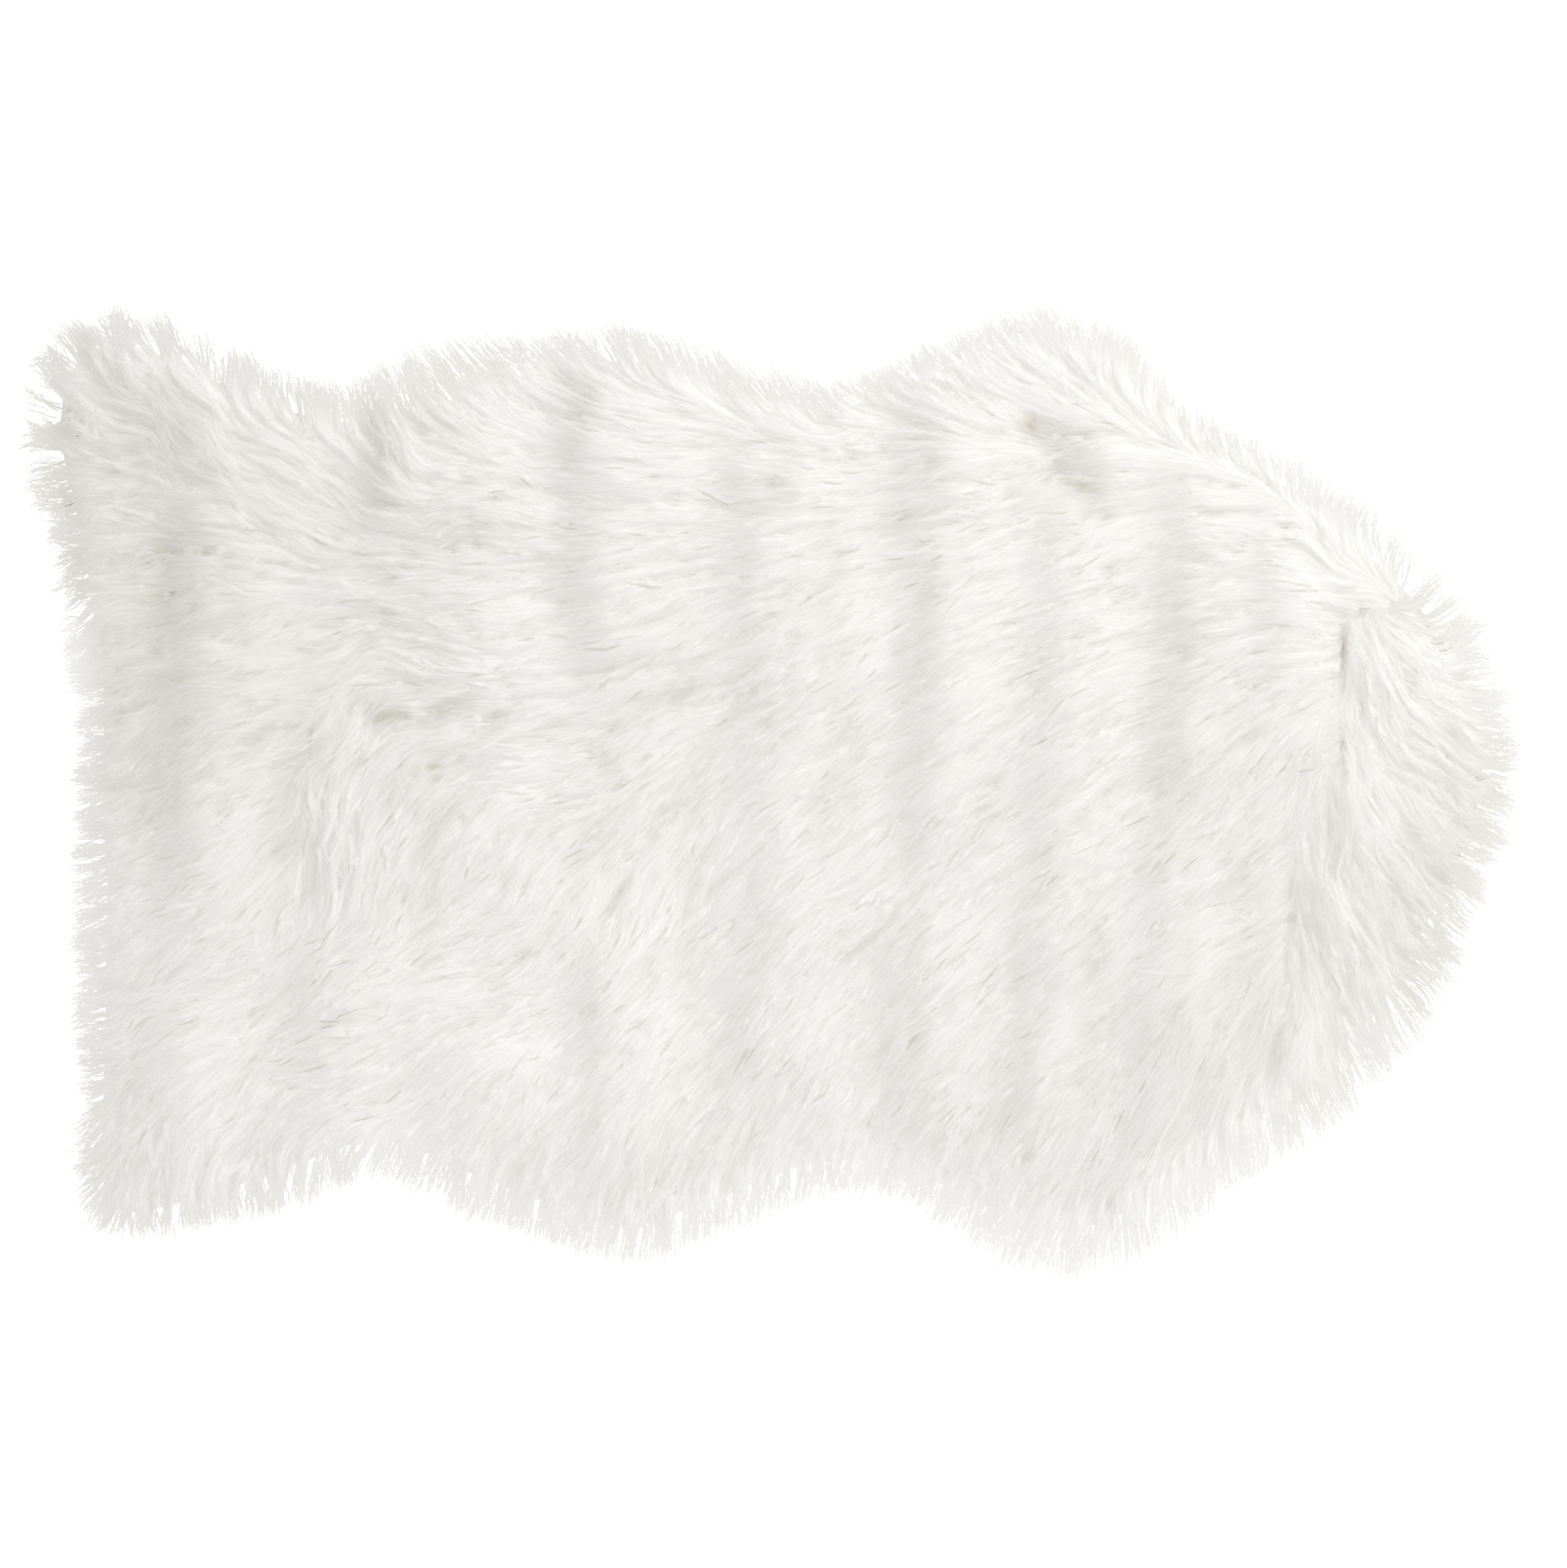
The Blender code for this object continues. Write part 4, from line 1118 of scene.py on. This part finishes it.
def add_painted_wisp_shadows(name, locks, material):
    """A short dark hair beside each wisp, on the side away from the light: a painted shadow, as the wisp
    throws none.
    """
    share = np.linspace(0.0, 1.0, HAIR_KNOTS)[None]
    span = random.uniform(*SHADED_SPAN, locks.count)[:, None]
    t = locks.start[:, None] + SHADED_DELAY + span * share
    ends = along_guides(locks.guides, t[:, (0, -1)])
    away = np.where(cross(ends[:, 1] - ends[:, 0], LIGHT) > 0.0, -1.0, 1.0)
    offset = away * (SHADED_ASIDE[0] * locks.width + SHADED_ASIDE[1])
    paths = locks.laid(t, offset[:, None], SHADED_LIFT)
    radius = SHADED_RADIUS * random.uniform(*SHADED_RADII, locks.count)[:, None]
    radius = radius * SHADED_SHAPE
    piece = add_tubes(name, paths, radius, radius * SHADED_FLATNESS, locks, material)
    each = len(piece.data.vertices) // locks.count
    # the painted shadow's darkness, which darkens the colour as open hair does
    shade = np.repeat(random.uniform(*PAINTED_SHADOW_DARKNESS, locks.count), each)
    piece.data.attributes["open"].data.foreach_set("value", shade.astype(np.float32))
    return piece


def add_hairs(name, locks, material):
    """Single hairs that run along their locks and a little past their tips."""
    each = HAIRS_PER_LOCK - (random.random(locks.count) < SPARED_SHARE)
    each = each + RIM_HAIRS * locks.passes
    hairs = locks.taken(np.repeat(np.arange(locks.count), each))
    count = hairs.count
    start = random.uniform(*HAIR_STARTS, count)[:, None]
    end = random.uniform(*HAIR_ENDS, count)
    end = (end + hairs.passes * random.uniform(*PAST_RIM, count))[:, None]
    t = start + (end - start) * np.linspace(0.0, 1.0, HAIR_KNOTS)[None]
    share = random.uniform(-1.0, 1.0, count)[:, None]
    half = hairs.half_width(t)
    stray = STRAY * random.normal(size=count)
    stray *= 1.0 + STRAYED[1] * (random.random(count) < STRAYED[0])
    depth = hairs.pelt.at(hairs.pelt.depth, along_guides(hairs.guides, t))
    fan = RIM_FAN * smoothstep(FAN_START - depth / FAN_BAND)
    offset = share * (half * ACROSS_SHARE + ACROSS_MORE + fan) + stray[:, None] * t**2
    top = half * LOCK_RIDGE * 2.0 * (1.0 - RIDGE_FALL * np.abs(share))
    paths = hairs.laid(t, offset, top + random.uniform(*HAIR_LIFTS, count)[:, None])
    radius = HAIR_RADIUS * random.uniform(*HAIR_RADII, count)[:, None] * HAIR_SHAPE
    return add_tubes(name, paths, radius, radius * HAIR_FLATNESS, hairs, material)


def wisped_locks(pelt, locks, order):
    """The locks that have a wisp lying over them: more of them where the hair is wild."""
    share = WISP_SHARE * (1.0 + wildness(locks.guides[:, 0]))
    ends = along_guides(locks.guides, locks.start[:, None] + SHADED_SPAN[1])[:, 0]
    inner = pelt.at(pelt.depth, ends) > WISP_INSET
    wisped = (random.random(locks.count) < share) & locks.inner & inner
    return locks.taken(order[wisped[order]])


def add_pile(pelt, material):
    """All locks and hairs, in pieces from the tail end to the nose end."""
    locks = Locks(pelt, lock_roots(pelt))
    locks = locks.taken(locks.clear_of_gaps())
    order = np.argsort(locks.guides[:, 0, 0], kind="stable")
    wisped = wisped_locks(pelt, locks, order)
    pieces = [add_wisps("wisps", wisped, material)]
    pieces.append(add_painted_wisp_shadows("wisp_shadows_painted", wisped, material))
    for kind, add, names in (("locks", add_locks, LOCK_PIECES), ("hairs", add_hairs, HAIR_PIECES)):
        for name, part in zip(names, np.array_split(order, len(names))):
            pieces.append(add(f"{kind}_{name}", locks.taken(part), material))
    return pieces


# ---- materials ----


class Material:
    """A Principled material and a few helpers to wire nodes into it."""

    def __init__(self, name, roughness):
        self.material = bpy.data.materials.new(name)
        self.material.use_nodes = True
        self.tree = self.material.node_tree
        self.finish({"Roughness": roughness})

    def add(self, kind, inputs, **settings):
        """A node with its settings, and with a constant or an output on each input."""
        node = self.tree.nodes.new(kind)
        for name, value in settings.items():
            setattr(node, name, value)
        return self.feed(node, inputs)

    def feed(self, node, inputs):
        for name, value in inputs.items():
            if isinstance(value, bpy.types.NodeSocket):
                self.tree.links.new(value, node.inputs[name])
            else:
                node.inputs[name].default_value = value
        return node

    def finish(self, inputs):
        """Values of the material itself."""
        self.feed(self.tree.nodes["Principled BSDF"], inputs)

    def attribute(self, name):
        return self.add("ShaderNodeAttribute", {}, attribute_name=name).outputs["Fac"]

    def place(self):
        return self.add("ShaderNodeTexCoord", {}).outputs["Object"]

    def noise(self, place, scale=1.0, detail=4.0):
        inputs = {"Vector": place, "Scale": scale, "Detail": detail}
        return self.add("ShaderNodeTexNoise", inputs).outputs["Fac"]

    def maths(self, operation, first, second):
        node = self.add("ShaderNodeMath", {0: first, 1: second}, operation=operation)
        return node.outputs["Value"]

    def mix(self, kind, first, second):
        inputs = {"Factor": 1.0, "A": first, "B": second}
        node = self.add("ShaderNodeMix", inputs, data_type="RGBA", blend_type=kind)
        return node.outputs["Result"]

    def ramp(self, source, stops):
        node = self.add("ShaderNodeValToRGB", {"Fac": source})
        elements = node.color_ramp.elements
        while len(elements) < len(stops):
            elements.new(0.5)
        for element, (position, colour) in zip(elements, stops):
            element.position = position
            element.color = (*colour, 1.0)
        return node.outputs["Color"]

    def bump(self, source, distance, strength=1.0):
        inputs = {"Height": source, "Distance": distance, "Strength": strength}
        self.finish({"Normal": self.add("ShaderNodeBump", inputs).outputs["Normal"]})

    def fibres(self):
        """Fine lines along a lock, from its own coordinates."""
        place = {
            axis: self.maths("MULTIPLY", self.attribute(name), scale)
            for name, scale, axis in FIBRES
        }
        node = self.add("ShaderNodeCombineXYZ", place)
        return self.noise(node.outputs["Vector"], detail=3.0)

    def combed_lines(self):
        """Fine lines that follow the combing: lines of several headings, faded into each other."""
        lie_x, lie_y = self.attribute("lie_x"), self.attribute("lie_y")
        place = self.place()
        total = 0.0
        for index in range(LINE_HEADINGS):
            heading = math.pi * index / LINE_HEADINGS
            inputs = {"Vector": place, "Rotation": (0.0, 0.0, heading), "Scale": LINE_SIZE}
            mapping = self.add("ShaderNodeMapping", inputs, vector_type="TEXTURE")
            lines = self.noise(mapping.outputs["Vector"], detail=2.0)
            along_x = self.maths("MULTIPLY", lie_x, math.cos(2 * heading))
            along_y = self.maths("MULTIPLY", lie_y, math.sin(2 * heading))
            likeness = self.maths("MAXIMUM", self.maths("ADD", along_x, along_y), 0.0)
            share = self.maths("MULTIPLY", self.maths("POWER", likeness, LINE_SHARPNESS), lines)
            total = self.maths("ADD", total, share)
        return self.maths("DIVIDE", total, LINE_SUM)

    def with_painted_shade_and_light(self, colour):
        """The colour, darker and yellower in the furrows and where the hair stands open, as painted
        shade, and paler where light is painted on.
        """
        colour = self.mix("MULTIPLY", colour, self.ramp(self.attribute("clump"), FURROW_SHADE))
        colour = self.mix("MULTIPLY", colour, self.ramp(self.attribute("open"), OPEN_HAIR_SHADE))
        return self.mix("ADD", colour, self.ramp(self.attribute("painted_light"), PAINTED_LIGHT))


def hair_material():
    m = Material("combed_hair", roughness=0.6)
    fibres = m.fibres()
    # painted shade towards the roots, partly the hair's own tint
    colour = m.ramp(m.attribute("along"), ROOT_SHADE_TO_TIP)
    colour = m.mix("MULTIPLY", colour, m.ramp(m.attribute("tone"), TONES))
    colour = m.mix("MULTIPLY", colour, m.ramp(m.noise(m.place(), scale=11.0), PATCHES))
    colour = m.mix("MULTIPLY", colour, m.ramp(fibres, STREAKS))
    m.finish({"Base Color": m.with_painted_shade_and_light(colour), **HAIR_FINISH})
    m.bump(fibres, distance=0.00012, strength=0.5)
    return m.material


def undercoat_material():
    m = Material("woolly_undercoat", roughness=0.9)
    lines = m.combed_lines()
    m.finish({"Base Color": m.with_painted_shade_and_light(m.ramp(lines, WOOL_LINES_AND_SHADE))})
    m.bump(lines, distance=0.0006, strength=0.5)
    return m.material


def hide_material():
    m = Material("suede_hide", roughness=0.95)
    m.finish({"Base Color": m.ramp(m.noise(m.place(), scale=60.0, detail=8.0), SUEDE)})
    m.bump(m.noise(m.place(), scale=900.0, detail=6.0), distance=0.0004)
    return m.material


def floor_material():
    m = Material("pale_floor", roughness=0.9)
    m.finish({"Base Color": m.ramp(m.noise(m.place(), scale=3.0), FLOOR_TINT)})
    m.finish({"Emission Color": (*WHITE, 1.0), "Emission Strength": FLOOR_GLOW})
    return m.material


# ---- stage ----


def add_camera():
    data = bpy.data.cameras.new("overhead")
    data.lens = LENS
    data.sensor_width = SENSOR
    camera = new_object("overhead", data)
    away = PHOTO_WIDTH * METRES_PER_PIXEL * LENS / SENSOR
    camera.location = (*PHOTO_CENTRE, away + PILE_LEVEL)
    bpy.context.scene.camera = camera


def add_floor():
    corners = [(x, y, -FLOOR_DROP) for x, y in FLOOR_CORNERS]
    new_mesh("floor", corners, range(4), (4,), floor_material(), False)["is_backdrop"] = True


def add_light(name, location, size, power):
    data = bpy.data.lights.new(name, "AREA")
    data.shape = "DISK"
    data.size = size
    data.energy = power
    light = new_object(name, data)
    light.location = location
    light.rotation_mode = "QUATERNION"
    light.rotation_quaternion = Vector(location).to_track_quat("Z", "Y")


def light_stage():
    world = bpy.data.worlds.new("studio")
    world.use_nodes = True
    background = world.node_tree.nodes["Background"]
    background.inputs["Color"].default_value = (*WHITE, 1.0)
    background.inputs["Strength"].default_value = WORLD_LIGHT
    bpy.context.scene.world = world
    add_light("key", *KEY)
    add_light("window", *WINDOW)
    bpy.context.scene.view_settings.view_transform = "Standard"


def write_sizes():
    boxes = {"cad": CAD_BOX, "visual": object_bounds()}
    plain = {name: [list(corner) for corner in box] for name, box in boxes.items()}


# ---- the rug ----

rim_line = read_rim(solid_points())
pelt_map = PeltMap(rim_line)
hair = hair_material()
hide, hide_size, hide_area = add_hide(rim_line, hide_material())
undercoat = add_undercoat(pelt_map, undercoat_material())
pile = add_pile(pelt_map, hair)
for piece in (hide, undercoat, *pile):
    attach(piece, BODY)
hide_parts(NODE)
undercoat.visible_shadow = False
add_camera()
add_floor()
light_stage()
write_sizes()
